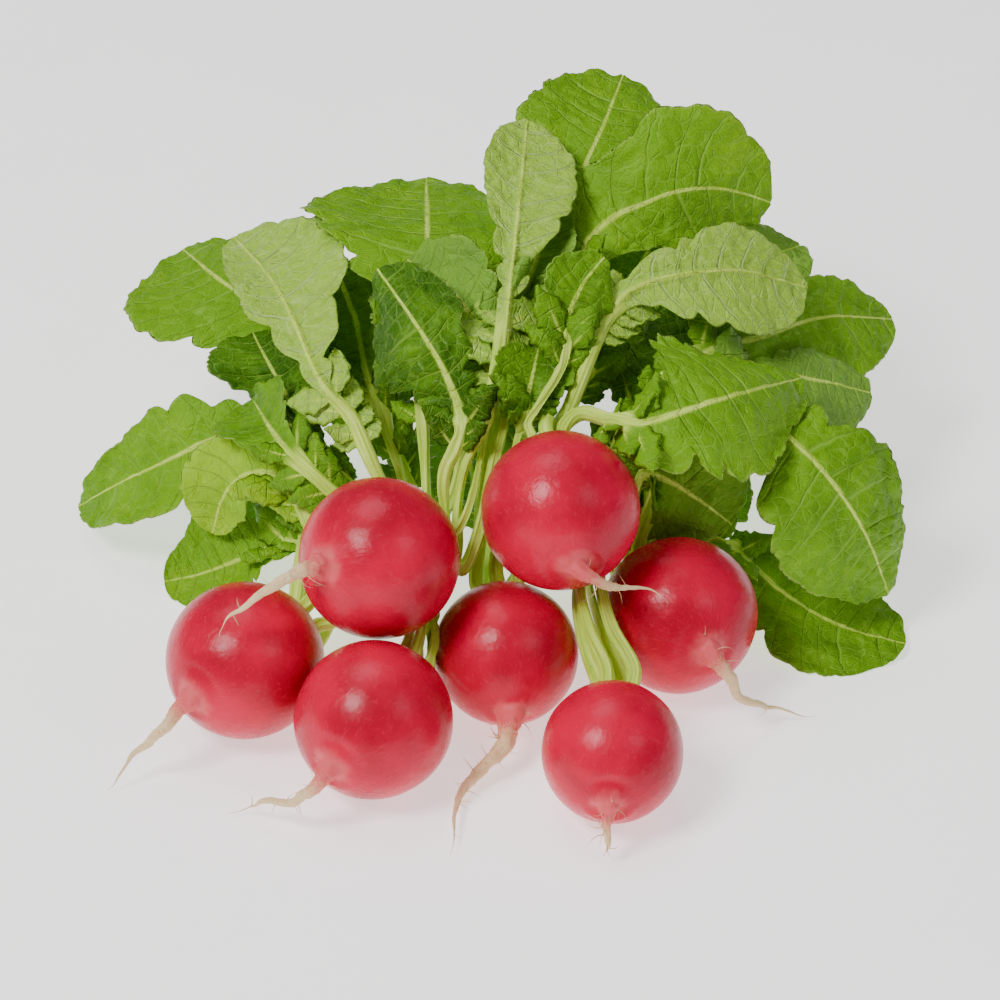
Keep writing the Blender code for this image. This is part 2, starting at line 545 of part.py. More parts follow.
def layApart(sheets, halves, solids):
    """Moves crossing leaves apart round by round, and clear of the radishes and the surface."""
    rows, sides = stalk_rows + blade_rows, 2 * columns - 2
    trees = {name: skinTree(solid.data) for name, solid in solids.items()}
    placed = dict(sheets)
    for turn in range(push_rounds):
        step = push_step * (1 - 0.7 * turn / push_rounds)
        meshes = {name: leafMesh(name, placed[name], halves[name], spare_room) for name in placed}
        moves = {name: np.zeros_like(sheet) for name, sheet in placed.items()}
        hits = sum(pushPair(one, other, meshes, placed, moves) for one, other in combinations(placed, 2))
        for name in placed:
            hits += pushOffBulbs(name, meshes[name], trees, placed, moves)
            low = meshes[name][0][:rows * sides, 2].reshape(rows, sides).min(1) - spare_room
            moves[name] *= step
            moves[name][:, :, 2] += np.clip(-low, 0, 1)[:, None]
            moved = placed[name] + smoothShift(smoothShift(moves[name])) * 2
            spots = ownCrossings(name, moved, halves[name])
            # one round evens out the leaf's own shape, and the next its shift from where it was drawn
            drawn = sheets[name] * (turn % 2)
            placed[name] = drawn + evenOut(moved - drawn, spots)
            hits += len(spots)
        if not hits:
            break
    print("laid apart in", turn + 1, "rounds,", hits, "crossing faces left")
    return placed


def skinTree(mesh):
    points = [v.co / mm for v in mesh.vertices]
    return BVHTree.FromPolygons(points, [list(p.vertices) for p in mesh.polygons])


def sheetPoint(corner):
    """The row and column of the sheet that a vertex of the leaf belongs to."""
    rows, sides = stalk_rows + blade_rows, 2 * columns - 2
    if corner >= rows * sides:
        return (0 if corner == rows * sides else rows - 1), columns // 2
    row, k = divmod(corner, sides)
    return row, min(k, sides - k)


def outOfRadish(place, radish):
    """The direction away from the nearest of the bulb's centre and the root's points."""
    centre = Vector(radish["centre"])
    if (place - centre).length < radish["radius"] + 6:
        return (place - centre).normalized()
    nearest = min((Vector(p) for p in radish["root"]), key=lambda p: (p - place).length)
    return (place - nearest).normalized()


def settleBlade(verts):
    """Lowers the blade onto the surface, and the stalk with it by a share that fades out at the crown."""
    sides = 2 * columns - 2
    rows = np.append(np.arange(len(verts) - 2) // sides, [0, stalk_rows + blade_rows - 1])
    share = np.clip(rows / stalk_rows, 0, 1)
    verts[:, 2] -= verts[rows >= stalk_rows, 2].min() * share


def makeLeaf(name, sheet, half, material, group):
    leaf = leaves[name]
    verts, faces = leafSolid(sheet, half, leaf.get("under", False))
    if leaf.get("floor"):
        settleBlade(verts)
    mesh = bpy.data.meshes.new(name)
    mesh.from_pydata((verts * mm).tolist(), [], faces)
    mesh.materials.append(material)
    mesh.shade_smooth()
    solid = bpy.data.objects.new(name, mesh)
    group.objects.link(solid)
    return solid


def standOnOrigin(solids):
    """Puts the bottom centre of the whole bunch's box at the origin."""
    places = [solid.matrix_world @ v.co for solid in solids for v in solid.data.vertices]
    low = Vector([min(p[k] for p in places) for k in range(3)])
    high = Vector([max(p[k] for p in places) for k in range(3)])
    middle = Vector(((low.x + high.x) / 2, (low.y + high.y) / 2, low.z))
    for solid in solids:
        for vertex in solid.data.vertices:
            vertex.co -= middle
    print("bunch", [round(v, 4) for v in high - low], "moved by", [round(-v, 4) for v in middle])


def buildBunch():
    clearScene()
    group = bpy.data.collections.new("radish_bunch")
    bpy.context.scene.collection.children.link(group)
    skin = makeMaterial("radish_skin", (0.55, 0.008, 0.045), 0.35)
    upper = makeMaterial("leaf_upper", (0.09, 0.26, 0.02), 0.5)
    lower = makeMaterial("leaf_underside", (0.38, 0.56, 0.17), 0.6)
    bulbs = {name: makeRadish(name, radish, skin, group) for name, radish in radishes.items()}
    sheets, halves = {}, {}
    feet = standStalks()
    for name, leaf in leaves.items():
        sheet, halves[name] = leafSheet(leaf, feet[name])
        sheets[name] = openFolds(name, sheet, halves[name])
    sheets = layApart(sheets, halves, bulbs)
    blades = []
    for name, leaf in leaves.items():
        material = lower if leaf.get("under") else upper
        blades.append(makeLeaf(name, sheets[name], halves[name], material, group))
    standOnOrigin(list(bulbs.values()) + blades)


buildBunch()
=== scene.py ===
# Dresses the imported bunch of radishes: fine bulbs and roots, and fine leaves grown over the CAD ones.

import json
import math

import bpy
import numpy as np
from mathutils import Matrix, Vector, noise


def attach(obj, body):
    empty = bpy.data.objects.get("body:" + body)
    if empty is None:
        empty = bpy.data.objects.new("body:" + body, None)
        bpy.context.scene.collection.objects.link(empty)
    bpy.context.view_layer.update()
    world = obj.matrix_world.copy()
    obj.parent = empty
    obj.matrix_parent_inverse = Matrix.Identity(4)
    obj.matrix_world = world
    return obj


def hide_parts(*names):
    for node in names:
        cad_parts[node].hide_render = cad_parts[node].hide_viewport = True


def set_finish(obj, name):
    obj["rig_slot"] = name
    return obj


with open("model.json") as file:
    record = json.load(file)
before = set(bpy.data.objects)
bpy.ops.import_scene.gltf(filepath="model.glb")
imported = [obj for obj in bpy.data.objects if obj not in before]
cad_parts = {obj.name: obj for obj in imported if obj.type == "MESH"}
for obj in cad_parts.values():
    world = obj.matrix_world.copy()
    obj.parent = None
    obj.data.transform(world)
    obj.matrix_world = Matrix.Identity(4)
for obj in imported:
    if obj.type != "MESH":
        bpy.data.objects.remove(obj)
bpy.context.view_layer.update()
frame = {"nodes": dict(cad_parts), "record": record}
print("frame loaded:", len(frame["nodes"]), "nodes")

mm = 0.001
restHeight = 1.0        # mm above the floor below which leaves and hairs are pressed flat
skinTolerance = 0.05    # mm off the ball that still counts as the bulb's skin

cameraSettings = {
    "elevation": 35.0,
    "distance": 0.70,
    "lens": 118.4,
    "target": (0.0027, -0.0086, 0.030),
}

stageSettings = {
    "floorColour": (0.96, 0.96, 0.955),
    "worldColour": (1.0, 1.0, 1.0),
    "worldStrength": 0.15,
    "floorGlow": 0.95,
    "floorGap": 0.0002,
    # name: size, distance, azimuth, elevation, power, colour
    "lights": {
        "keyLight": (0.30, 1.0, -48, 52, 8.4, (1.0, 0.99, 0.97)),
        "sideLight": (0.35, 1.0, 55, 42, 1.1, (0.98, 0.99, 1.0)),
        "topLight": (0.6, 1.1, -150, 68, 3.6, (1.0, 1.0, 1.0)),
    },
}


def newMesh(name, verts, faces, smooth=True):
    mesh = bpy.data.meshes.new(name)
    mesh.from_pydata([tuple(v) for v in verts], [], [tuple(f) for f in faces])
    mesh.update()
    if smooth:
        mesh.shade_smooth()
    return mesh


def addPiece(name, mesh, slotName, nodeName=None):
    piece = bpy.data.objects.new(name, mesh)
    bpy.context.scene.collection.objects.link(piece)
    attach(piece, "root")
    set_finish(piece, slotName)
    if nodeName:
        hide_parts(nodeName)
    return piece


def setPointValues(mesh, name, values):
    attribute = mesh.attributes.new(name, "FLOAT", "POINT")
    attribute.data.foreach_set("value", np.asarray(values, dtype=np.float32).ravel())


def setPointVectors(mesh, name, values):
    attribute = mesh.attributes.new(name, "FLOAT_VECTOR", "POINT")
    attribute.data.foreach_set("vector", np.asarray(values, dtype=np.float32).ravel())


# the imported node's points welded, in millimetres, with its faces and each point's neighbours
def weldedNode(name):
    mesh = frame["nodes"][name].data
    places = np.array([v.co for v in mesh.vertices]) / mm
    keys = np.round(places, 3)
    unique, index = np.unique(keys, axis=0, return_inverse=True)
    index = index.ravel()
    faces = [tuple(int(index[v]) for v in p.vertices) for p in mesh.polygons]
    faces = [f for f in faces if len(set(f)) == 3]
    near = [set() for _ in unique]
    for a, b, c in faces:
        near[a] |= {b, c}
        near[b] |= {a, c}
        near[c] |= {a, b}
    return unique, faces, near


# rings of points, one layer of neighbours after another, from a first set of points
def ringsFrom(first, near):
    rings, seen = [set(first)], set(first)
    while True:
        ring = set().union(*(near[v] for v in rings[-1])) - seen
        if not ring:
            return rings
        rings.append(ring)
        seen |= ring


# cubic curve through values at uneven stops, read at new stops
def smoothThrough(stops, values, where):
    stops, values = np.asarray(stops, float), np.asarray(values, float)
    slope = np.gradient(values, stops, axis=0)
    i = np.clip(np.searchsorted(stops, where) - 1, 0, len(stops) - 2)
    span = stops[i + 1] - stops[i]
    t = (where - stops[i]) / span
    shape = (len(t),) + (1,) * (values.ndim - 1)
    t, span = t.reshape(shape), span.reshape(shape)
    return ((2 * t ** 3 - 3 * t ** 2 + 1) * values[i] + (t ** 3 - 2 * t ** 2 + t) * span * slope[i]
            + (3 * t ** 2 - 2 * t ** 3) * values[i + 1] + (t ** 3 - t ** 2) * span * slope[i + 1])


def smoothStep(low, high, value):
    t = np.clip((value - low) / (high - low), 0, 1)
    return t * t * (3 - 2 * t)


# heights in millimetres, with what comes near the floor or under it pressed flat just above it
def liftOffFloor(heights):
    pressed = restHeight * np.exp(np.minimum(heights / restHeight - 1, 0))
    return np.where(heights > restHeight, heights, pressed)


# faces of a grid of rings that close round, with a face on each end
def tubeFaces(rings, sides):
    faces = []
    for i in range(rings - 1):
        for k in range(sides):
            a, b = i * sides + k, i * sides + (k + 1) % sides
            faces.append((a, b, b + sides, a + sides))
    faces.append(tuple(reversed(range(sides))))
    faces.append(tuple(range((rings - 1) * sides, rings * sides)))
    return faces


# materials
def newMaterial(name):
    material = bpy.data.materials.new(name)
    material.use_nodes = True
    return material, material.node_tree.nodes, material.node_tree.links


def attributeNode(nodes, name):
    node = nodes.new("ShaderNodeAttribute")
    node.attribute_name = name
    return node


# links a socket, or sets a colour or a number on it
def feed(links, socket, value):
    if isinstance(value, bpy.types.NodeSocket):
        links.new(value, socket)
    elif isinstance(value, tuple):
        socket.default_value = (*value, 1)
    elif value is not None:
        socket.default_value = value


def mixColours(nodes, links, share, first, second):
    node = nodes.new("ShaderNodeMix")
    node.data_type = "RGBA"
    colourA, colourB = [socket for socket in node.inputs if socket.type == "RGBA"]
    for socket, value in ((node.inputs["Factor"], share), (colourA, first), (colourB, second)):
        feed(links, socket, value)
    return next(socket for socket in node.outputs if socket.type == "RGBA")


def mathNode(nodes, links, operation, first, second=None, third=None, clamp=False):
    node = nodes.new("ShaderNodeMath")
    node.operation = operation
    node.use_clamp = clamp
    for socket, value in zip(node.inputs, (first, second, third)):
        feed(links, socket, value)
    return node.outputs[0]


# value mapped from one range to another, clamped
def rangeNode(nodes, links, value, low, high, lowTo=0.0, highTo=1.0):
    node = nodes.new("ShaderNodeMapRange")
    node.interpolation_type = "SMOOTHSTEP"
    links.new(value, node.inputs["Value"])
    for name, number in (("From Min", low), ("From Max", high), ("To Min", lowTo), ("To Max", highTo)):
        node.inputs[name].default_value = number
    return node.outputs["Result"]


def noiseNode(nodes, links, place, scale, detail=3.0, roughness=0.5):
    node = nodes.new("ShaderNodeTexNoise")
    links.new(place, node.inputs["Vector"])
    node.inputs["Scale"].default_value = scale
    node.inputs["Detail"].default_value = detail
    node.inputs["Roughness"].default_value = roughness
    return node.outputs["Fac"]


# thin lines between the cells of a net
def netNode(nodes, links, place, scale, width):
    node = nodes.new("ShaderNodeTexVoronoi")
    node.feature = "DISTANCE_TO_EDGE"
    links.new(place, node.inputs["Vector"])
    node.inputs["Scale"].default_value = scale
    return rangeNode(nodes, links, node.outputs["Distance"], 0.0, width, 1.0, 0.0)


def stretched(nodes, links, place, scale):
    node = nodes.new("ShaderNodeVectorMath")
    node.operation = "MULTIPLY"
    links.new(place, node.inputs[0])
    node.inputs[1].default_value = scale
    return node.outputs[0]


def bumpNode(nodes, links, height, strength, distance, below=None):
    node = nodes.new("ShaderNodeBump")
    links.new(height, node.inputs["Height"])
    node.inputs["Strength"].default_value = strength
    node.inputs["Distance"].default_value = distance
    if below:
        links.new(below, node.inputs["Normal"])
    return node.outputs["Normal"]


skinColours = {
    "crimson": (0.72, 0.0, 0.045),
    "deep": (0.46, 0.0, 0.024),
    "light": (0.74, 0.02, 0.07),
    "rootBase": (0.78, 0.10, 0.12),
    "root": (0.92, 0.72, 0.42),
    "rootDark": (0.74, 0.48, 0.24),
    "crown": (0.55, 0.56, 0.20),
}

# scales are per metre of skin
skinSettings = {
    "cloudScale": 70,
    "poreScale": 1500,
    "patchScale": 260,
    "dentScale": 420,
    "roughness": 0.15,
    "rootRoughness": 0.35,
    "specular": 0.24,
}


def makeSkin():
    material, nodes, links = newMaterial("radishSkin")
    shader = nodes["Principled BSDF"]
    place = nodes.new("ShaderNodeTexCoord").outputs["Object"]
    polar = attributeNode(nodes, "polar").outputs["Vector"]
    rootness = attributeNode(nodes, "rootness").outputs["Fac"]
    cloud = rangeNode(nodes, links, noiseNode(nodes, links, place, skinSettings["cloudScale"], 3), 0.3, 0.7)
    colour = mixColours(nodes, links, cloud, skinColours["deep"], skinColours["crimson"])
    fibre = noiseNode(nodes, links, stretched(nodes, links, polar, (90, 14, 1)), 1.0, 4, 0.65)
    fleck = rangeNode(nodes, links, fibre, 0.54, 0.74, 0.0, 0.55)
    colour = mixColours(nodes, links, fleck, colour, skinColours["light"])
    pores = noiseNode(nodes, links, place, skinSettings["poreScale"], 2)
    colour = mixColours(nodes, links, rangeNode(nodes, links, pores, 0.6, 0.8, 0.0, 0.35),
                        colour, skinColours["light"])
    split = nodes.new("ShaderNodeSeparateXYZ")
    links.new(polar, split.inputs[0])
    crown = rangeNode(nodes, links, split.outputs["Y"], -0.86, -0.97)
    colour = mixColours(nodes, links, crown, colour, skinColours["crown"])
    patchy = noiseNode(nodes, links, place, skinSettings["patchScale"], 4, 0.6)
    edge = mathNode(nodes, links, "MULTIPLY_ADD", patchy, 0.55, rootness)
    colour = mixColours(nodes, links, rangeNode(nodes, links, edge, 0.42, 0.75),
                        colour, skinColours["rootBase"])
    fibres = noiseNode(nodes, links, stretched(nodes, links, polar, (40, 30, 1)), 1.0, 4, 0.6)
    rootColour = mixColours(nodes, links, rangeNode(nodes, links, fibres, 0.35, 0.7),
                            skinColours["root"], skinColours["rootDark"])
    onward = mathNode(nodes, links, "MULTIPLY_ADD", fibres, 0.7, split.outputs["Y"])
    colour = mixColours(nodes, links, rangeNode(nodes, links, onward, 1.48, 1.80), colour, rootColour)
    links.new(colour, shader.inputs["Base Color"])
    rough = mathNode(nodes, links, "MULTIPLY_ADD", fibre, 0.22, skinSettings["roughness"])
    rougher = skinSettings["rootRoughness"]
    rough = mathNode(nodes, links, "MULTIPLY_ADD", rootness, rougher, rough, clamp=True)
    links.new(rough, shader.inputs["Roughness"])
    shader.inputs["Specular IOR Level"].default_value = skinSettings["specular"]
    shader.inputs["Subsurface Weight"].default_value = 0.05
    shader.inputs["Subsurface Radius"].default_value = (0.004, 0.0012, 0.0012)
    shader.inputs["Subsurface Scale"].default_value = 1.0
    fine = bumpNode(nodes, links, fibre, 0.22, 0.0004)
    dents = noiseNode(nodes, links, place, skinSettings["dentScale"], 3)
    links.new(bumpNode(nodes, links, dents, 0.25, 0.0005, fine), shader.inputs["Normal"])
    return material


leafColours = {
    "dark": (0.032, 0.115, 0.001),
    "middle": (0.148, 0.360, 0.001),
    "light": (0.360, 0.610, 0.008),
    "under": (0.400, 0.640, 0.060),
    "underVein": (0.560, 0.700, 0.340),
    "bloom": (0.260, 0.470, 0.090),
    "vein": (0.330, 0.600, 0.070),
    "stalk": (0.470, 0.700, 0.050),
    "stalkPale": (0.720, 0.900, 0.170),
    "rim": (0.400, 0.600, 0.100),
}

# scales are per millimetre along and across the blade
leafSkinSettings = {
    "cloudScale": 0.09,
    "mottleScale": 1.6,
    "netScale": 0.34,
    "fineNetScale": 1.1,
    "grainScale": 0.9,
    "roughness": 0.36,
    "glossGain": 0.22,
    "specular": 0.16,
}


def makeLeafSkin():
    material, nodes, links = newMaterial("leafSkin")
    shader = nodes["Principled BSDF"]
    place = attributeNode(nodes, "leafPlace").outputs["Vector"]
    splitNodes = []
    for name in ("leafVein", "leafKind", "leafToneAndShade"):
        split = nodes.new("ShaderNodeSeparateXYZ")
        links.new(attributeNode(nodes, name).outputs["Vector"], split.inputs[0])
        splitNodes.append(split.outputs)
    (phase, outward, blade), (stalkness, ribCover, side), (toneAndShade, bloom, gloss) = splitNodes

    # patches of lighter and darker green, shifted by each leaf's tone, which on the shaded, behind and
    # inside leaves is partly painted shade
    cloud = noiseNode(nodes, links, place, leafSkinSettings["cloudScale"], 4, 0.55)
    patch = mathNode(nodes, links, "MULTIPLY_ADD", cloud, 0.9, -0.45)
    shade = mathNode(nodes, links, "ADD", toneAndShade, patch)
    middleShare = rangeNode(nodes, links, shade, 0.0, 0.5)
    lightShare = rangeNode(nodes, links, shade, 0.45, 1.1)
    upper = mixColours(nodes, links, middleShare, leafColours["dark"], leafColours["middle"])
    upper = mixColours(nodes, links, lightShare, upper, leafColours["light"])
    bloomShare = mathNode(nodes, links, "MULTIPLY", bloom, 0.7)
    upper = mixColours(nodes, links, bloomShare, upper, leafColours["bloom"])
    mottle = noiseNode(nodes, links, place, leafSkinSettings["mottleScale"], 4, 0.6)
    under = mixColours(nodes, links, rangeNode(nodes, links, mottle, 0.3, 0.7, 0.0, 0.45),
                       leafColours["under"], leafColours["middle"])
    colour = mixColours(nodes, links, side, under, upper)

    # side veins along the lobes, then a fine net between them
    wobble = mathNode(nodes, links, "MULTIPLY_ADD", noiseNode(nodes, links, place, 0.22, 2), 0.5, -0.25)
    gap = mathNode(nodes, links, "ADD", phase, mathNode(nodes, links, "MULTIPLY", wobble, outward))
    gap = mathNode(nodes, links, "SUBTRACT", mathNode(nodes, links, "FRACT", gap), 0.5)
    gap = mathNode(nodes, links, "ABSOLUTE", gap)
    width = mathNode(nodes, links, "MULTIPLY_ADD", outward, -0.055, 0.085)
    vein = mathNode(nodes, links, "SUBTRACT", 1.0, mathNode(nodes, links, "DIVIDE", gap, width), clamp=True)
    bend = nodes.new("ShaderNodeVectorMath")
    bend.operation = "ADD"
    ripple = nodes.new("ShaderNodeTexNoise")
    links.new(place, ripple.inputs["Vector"])
    ripple.inputs["Scale"].default_value = 0.5
    links.new(place, bend.inputs[0])
    links.new(ripple.outputs["Color"], bend.inputs[1])
    net = netNode(nodes, links, bend.outputs[0], leafSkinSettings["netScale"], 0.10)
    fineNet = netNode(nodes, links, bend.outputs[0], leafSkinSettings["fineNetScale"], 0.14)
    lines = mathNode(nodes, links, "MAXIMUM", mathNode(nodes, links, "MULTIPLY", net, 0.40),
                     mathNode(nodes, links, "MULTIPLY", fineNet, 0.18))
    lines = mathNode(nodes, links, "MAXIMUM", vein, lines)
    bladeShare = mathNode(nodes, links, "SUBTRACT", 1.0, stalkness)
    lines = mathNode(nodes, links, "MULTIPLY", lines, bladeShare, clamp=True)
    veinColour = mixColours(nodes, links, side, leafColours["underVein"], leafColours["vein"])
    colour = mixColours(nodes, links, mathNode(nodes, links, "MULTIPLY", lines, 0.55), colour, veinColour)
    rim = rangeNode(nodes, links, outward, 0.955, 0.995, 0.0, 0.6)
    rim = mathNode(nodes, links, "MULTIPLY", rim, bladeShare)
    colour = mixColours(nodes, links, rim, colour, leafColours["rim"])

    # stalk and midrib: pale green with lengthwise streaks
    streak = noiseNode(nodes, links, stretched(nodes, links, place, (0.12, 2.6, 1)), 1.0, 3, 0.55)
    stalk = mixColours(nodes, links, rangeNode(nodes, links, streak, 0.35, 0.68),
                       leafColours["stalk"], leafColours["stalkPale"])
    colour = mixColours(nodes, links, rangeNode(nodes, links, ribCover, 0.25, 0.8), colour, stalk)
    links.new(colour, shader.inputs["Base Color"])

    rough = mathNode(nodes, links, "MULTIPLY_ADD", mottle, 0.25, leafSkinSettings["roughness"])
    rough = mathNode(nodes, links, "MULTIPLY_ADD", gloss, -leafSkinSettings["glossGain"], rough, clamp=True)
    links.new(rough, shader.inputs["Roughness"])
    shader.inputs["Specular IOR Level"].default_value = leafSkinSettings["specular"]
    height = mathNode(nodes, links, "MULTIPLY", lines, -1.0)
    relief = bumpNode(nodes, links, height, 0.7, 0.0007)
    grain = noiseNode(nodes, links, place, leafSkinSettings["grainScale"], 4, 0.6)
    relief = bumpNode(nodes, links, grain, 0.35, 0.0006, relief)
    links.new(bumpNode(nodes, links, streak, 0.15, 0.0004, relief), shader.inputs["Normal"])
    return material


def makePlain(name, colour, roughness, grainScale):
    material, nodes, links = newMaterial(name)
    shader = nodes["Principled BSDF"]
    place = nodes.new("ShaderNodeTexCoord").outputs["Object"]
    grain = noiseNode(nodes, links, place, grainScale, 3)
    darker = tuple(0.93 * part for part in colour)
    links.new(mixColours(nodes, links, grain, darker, colour), shader.inputs["Base Color"])
    rough = rangeNode(nodes, links, grain, 0.0, 1.0, roughness - 0.08, roughness + 0.08)
    links.new(rough, shader.inputs["Roughness"])
    links.new(bumpNode(nodes, links, grain, 0.05, 0.0003), shader.inputs["Normal"])
    return material


# radishes, in millimetres
radishSettings = {
    "sides": 72,
    "bulbRows": 64,
    "rootRows": 90,
    "unevenness": 0.018,
    "fillet": 1.5,
    "sway": 1.6,
    "tipShare": 0.4,            # end share of the root that narrows to a point
    "rootTaper": (0.90, 0.60),
    "rootRest": 0.2,            # gap under a root that lies on the floor
}


# the sphere through most of the points, found by trying four at a time
def fitSphere(points):
    def solve(picked):
        system = np.c_[2 * picked, np.ones(len(picked))]
        fit = np.linalg.lstsq(system, (picked ** 2).sum(1), rcond=None)[0]
        return fit[:3], math.sqrt(max(fit[3] + fit[:3] @ fit[:3], 0))

    def onBall(ball):
        return abs(np.linalg.norm(points - ball[0], axis=1) - ball[1]) < skinTolerance

    dice = np.random.default_rng(7)
    tries = [solve(points[dice.choice(len(points), 4, replace=False)]) for _ in range(300)]
    best = max(tries, key=lambda ball: onBall(ball).sum())
    return solve(points[onBall(best)])


# centre, radius, axis towards the crown, and the root's course and half widths from the skin to the tip
def readRadish(name):
    points, faces, near = weldedNode(name)
    centre, radius = fitSphere(points)
    corners = points[np.array(faces)]
    facing = np.cross(corners[:, 1] - corners[:, 0], corners[:, 2] - corners[:, 0])
    size = np.linalg.norm(facing, axis=1)
    keys = np.round(facing / (size[:, None] + 1e-9), 2)
    group = np.unique(keys, axis=0, return_inverse=True)[1].ravel()
    widest = np.bincount(group, weights=size).argmax()
    crown = np.unique(np.array(faces)[group == widest])
    axis = points[crown].mean(0) - centre
    axis /= np.linalg.norm(axis)
    rings = [points[sorted(ring)] for ring in ringsFrom(crown.tolist(), near)]
    middles = np.array([ring.mean(0) for ring in rings])
    widths = np.array([np.linalg.norm(ring - ring.mean(0), axis=1).mean() for ring in rings])
    reach = [np.linalg.norm(ring - centre, axis=1).max() for ring in rings]
    root = [i for i, far in enumerate(reach) if far > radius + skinTolerance]
    widths = widths[root] * np.linspace(*radishSettings["rootTaper"], len(root))
    return {"centre": centre, "radius": radius, "axis": axis, "course": middles[root], "widths": widths}


# the line from crown to root tip: distances along it, its places, and the half width at each
def radishLine(facts, seed):
    centre, radius, axis = facts["centre"], facts["radius"], facts["axis"]
    course = np.vstack([centre, centre - axis * radius * 0.9, facts["course"]])
    stops = np.concatenate([[0], np.cumsum(np.linalg.norm(np.diff(course, axis=0), axis=1))])
    angles = np.linspace(0.02, math.pi * 0.93, radishSettings["bulbRows"])
    heights = -radius * np.cos(angles)
    tail = np.linspace(heights[-1], stops[-1], radishSettings["rootRows"])[1:]
    where = np.concatenate([heights, tail])

    # the root's own width, pointed at its tip, blended into the ball by a soft fillet
    rootStart = stops[2]
    rootWidth = np.interp(where, stops[2:], facts["widths"])
    rootWidth = np.where(where < rootStart, facts["widths"][0], rootWidth)
    rootWidth = np.where(where < radius * 0.6, 0.0, rootWidth)
    left = (stops[-1] - where) / (stops[-1] - rootStart)
    rootWidth = rootWidth * np.clip(left / radishSettings["tipShare"], 0.12, 1) ** 0.7
    fillet = radishSettings["fillet"] * np.clip(where / radius / 0.2 - 3, 0, 1)
    fillet = fillet * (1 - smoothStep(radius, radius * 1.35, where))
    ball = np.sqrt(np.clip(radius ** 2 - where ** 2, 0, None))
    width = 0.5 * (ball + rootWidth + np.sqrt((ball - rootWidth) ** 2 + fillet ** 2))

    straight = centre[None] - axis[None] * where[:, None]
    curved = smoothThrough(stops, course, np.clip(where, 0, stops[-1]))
    path = np.where((where < stops[1])[:, None], straight, curved)
    loose = smoothStep(radius * 1.1, radius * 1.5, where)
    sway = np.array([[noise.noise(Vector((w * 0.16, seed, k * 5.5))) for k in range(3)] for w in where])
    path = path + sway * loose[:, None] * radishSettings["sway"]
    clear = np.maximum(path[:, 2], width + radishSettings["rootRest"])
    path[:, 2] = np.where(where > radius, clear, path[:, 2])
    return where, path, width


# the bulb and its taproot as one closed skin
def makeRadish(name, seed, material):
    facts = readRadish(name)
    radius, axis = facts["radius"], facts["axis"]
    where, path, width = radishLine(facts, seed)
    sides = radishSettings["sides"]
    flat = np.clip((-where / radius - 0.86) / 0.14, 0, 1)
    tangent = np.gradient(path, axis=0)
    tangent /= np.linalg.norm(tangent, axis=1)[:, None]
    side = np.cross(tangent[0], (0.3, 0.2, 1.0))
    turn = np.linspace(0, 2 * math.pi, sides, endpoint=False)
    rootness = np.clip((where - radius * 0.93) / (radius * 0.16), 0, 1)
    uneven = radishSettings["unevenness"] * radius
    verts, polar, rootMask = [], [], []
    for i, (place, ahead) in enumerate(zip(path, tangent)):
        side = side - ahead * (side @ ahead)
        side /= np.linalg.norm(side)
        over = np.cross(ahead, side)
        for k, angle in enumerate(turn):
            out = side * math.cos(angle) + over * math.sin(angle)
            base = place + out * width[i]
            bumps = noise.noise(Vector(base * 0.045) + Vector((seed, 0, 0))) * uneven
            bumps += noise.noise(Vector(base * 0.16) + Vector((0, seed, 0))) * 0.10
            wrinkle = noise.noise(Vector((where[i] * 1.3, angle * 0.8, seed))) * 0.16 * width[i]
            wrinkle += noise.noise(Vector((where[i] * 0.5, angle * 1.5, seed + 9))) * 0.22 * width[i]
            lift = bumps * (1 - rootness[i]) * min(1.0, width[i] / 4) + wrinkle * rootness[i]
            sink = axis * flat[i] ** 2 * -0.5
            verts.append((base + out * lift + sink) * mm)
            polar.append((angle / (2 * math.pi), where[i] / radius, seed))
            rootMask.append(rootness[i])
    mesh = newMesh(name + "_skin", verts, tubeFaces(len(path), sides))
    setPointVectors(mesh, "polar", polar)
    setPointValues(mesh, "rootness", rootMask)
    setPointValues(mesh, "hairMask", np.array(rootMask) ** 2)
    mesh.materials.append(material)
    return addPiece(name + "_fine", mesh, "radish_skin", name)


# leaves
# tone goes from dark 0 to light 1 and is each leaf's own green, except on the shaded, behind and inside
# leaves where its darkness is partly painted shade; bloom is a grey veil, lobed cuts the lower blade into
# leaflets
leafSettings = {
    "toneAndShade": 0.45,
    "bloom": 0.0,
    "gloss": 0.0,
    "lobes": 8,
    "depth": 0.05,
    "lobed": 0.35,
    "ruffle": 0.9,
    "blister": 0.34,
    "fullness": 1.13,
    "detail": 1.0,
    "leaflets": 8,
    "leafletSize": 10.5,
}

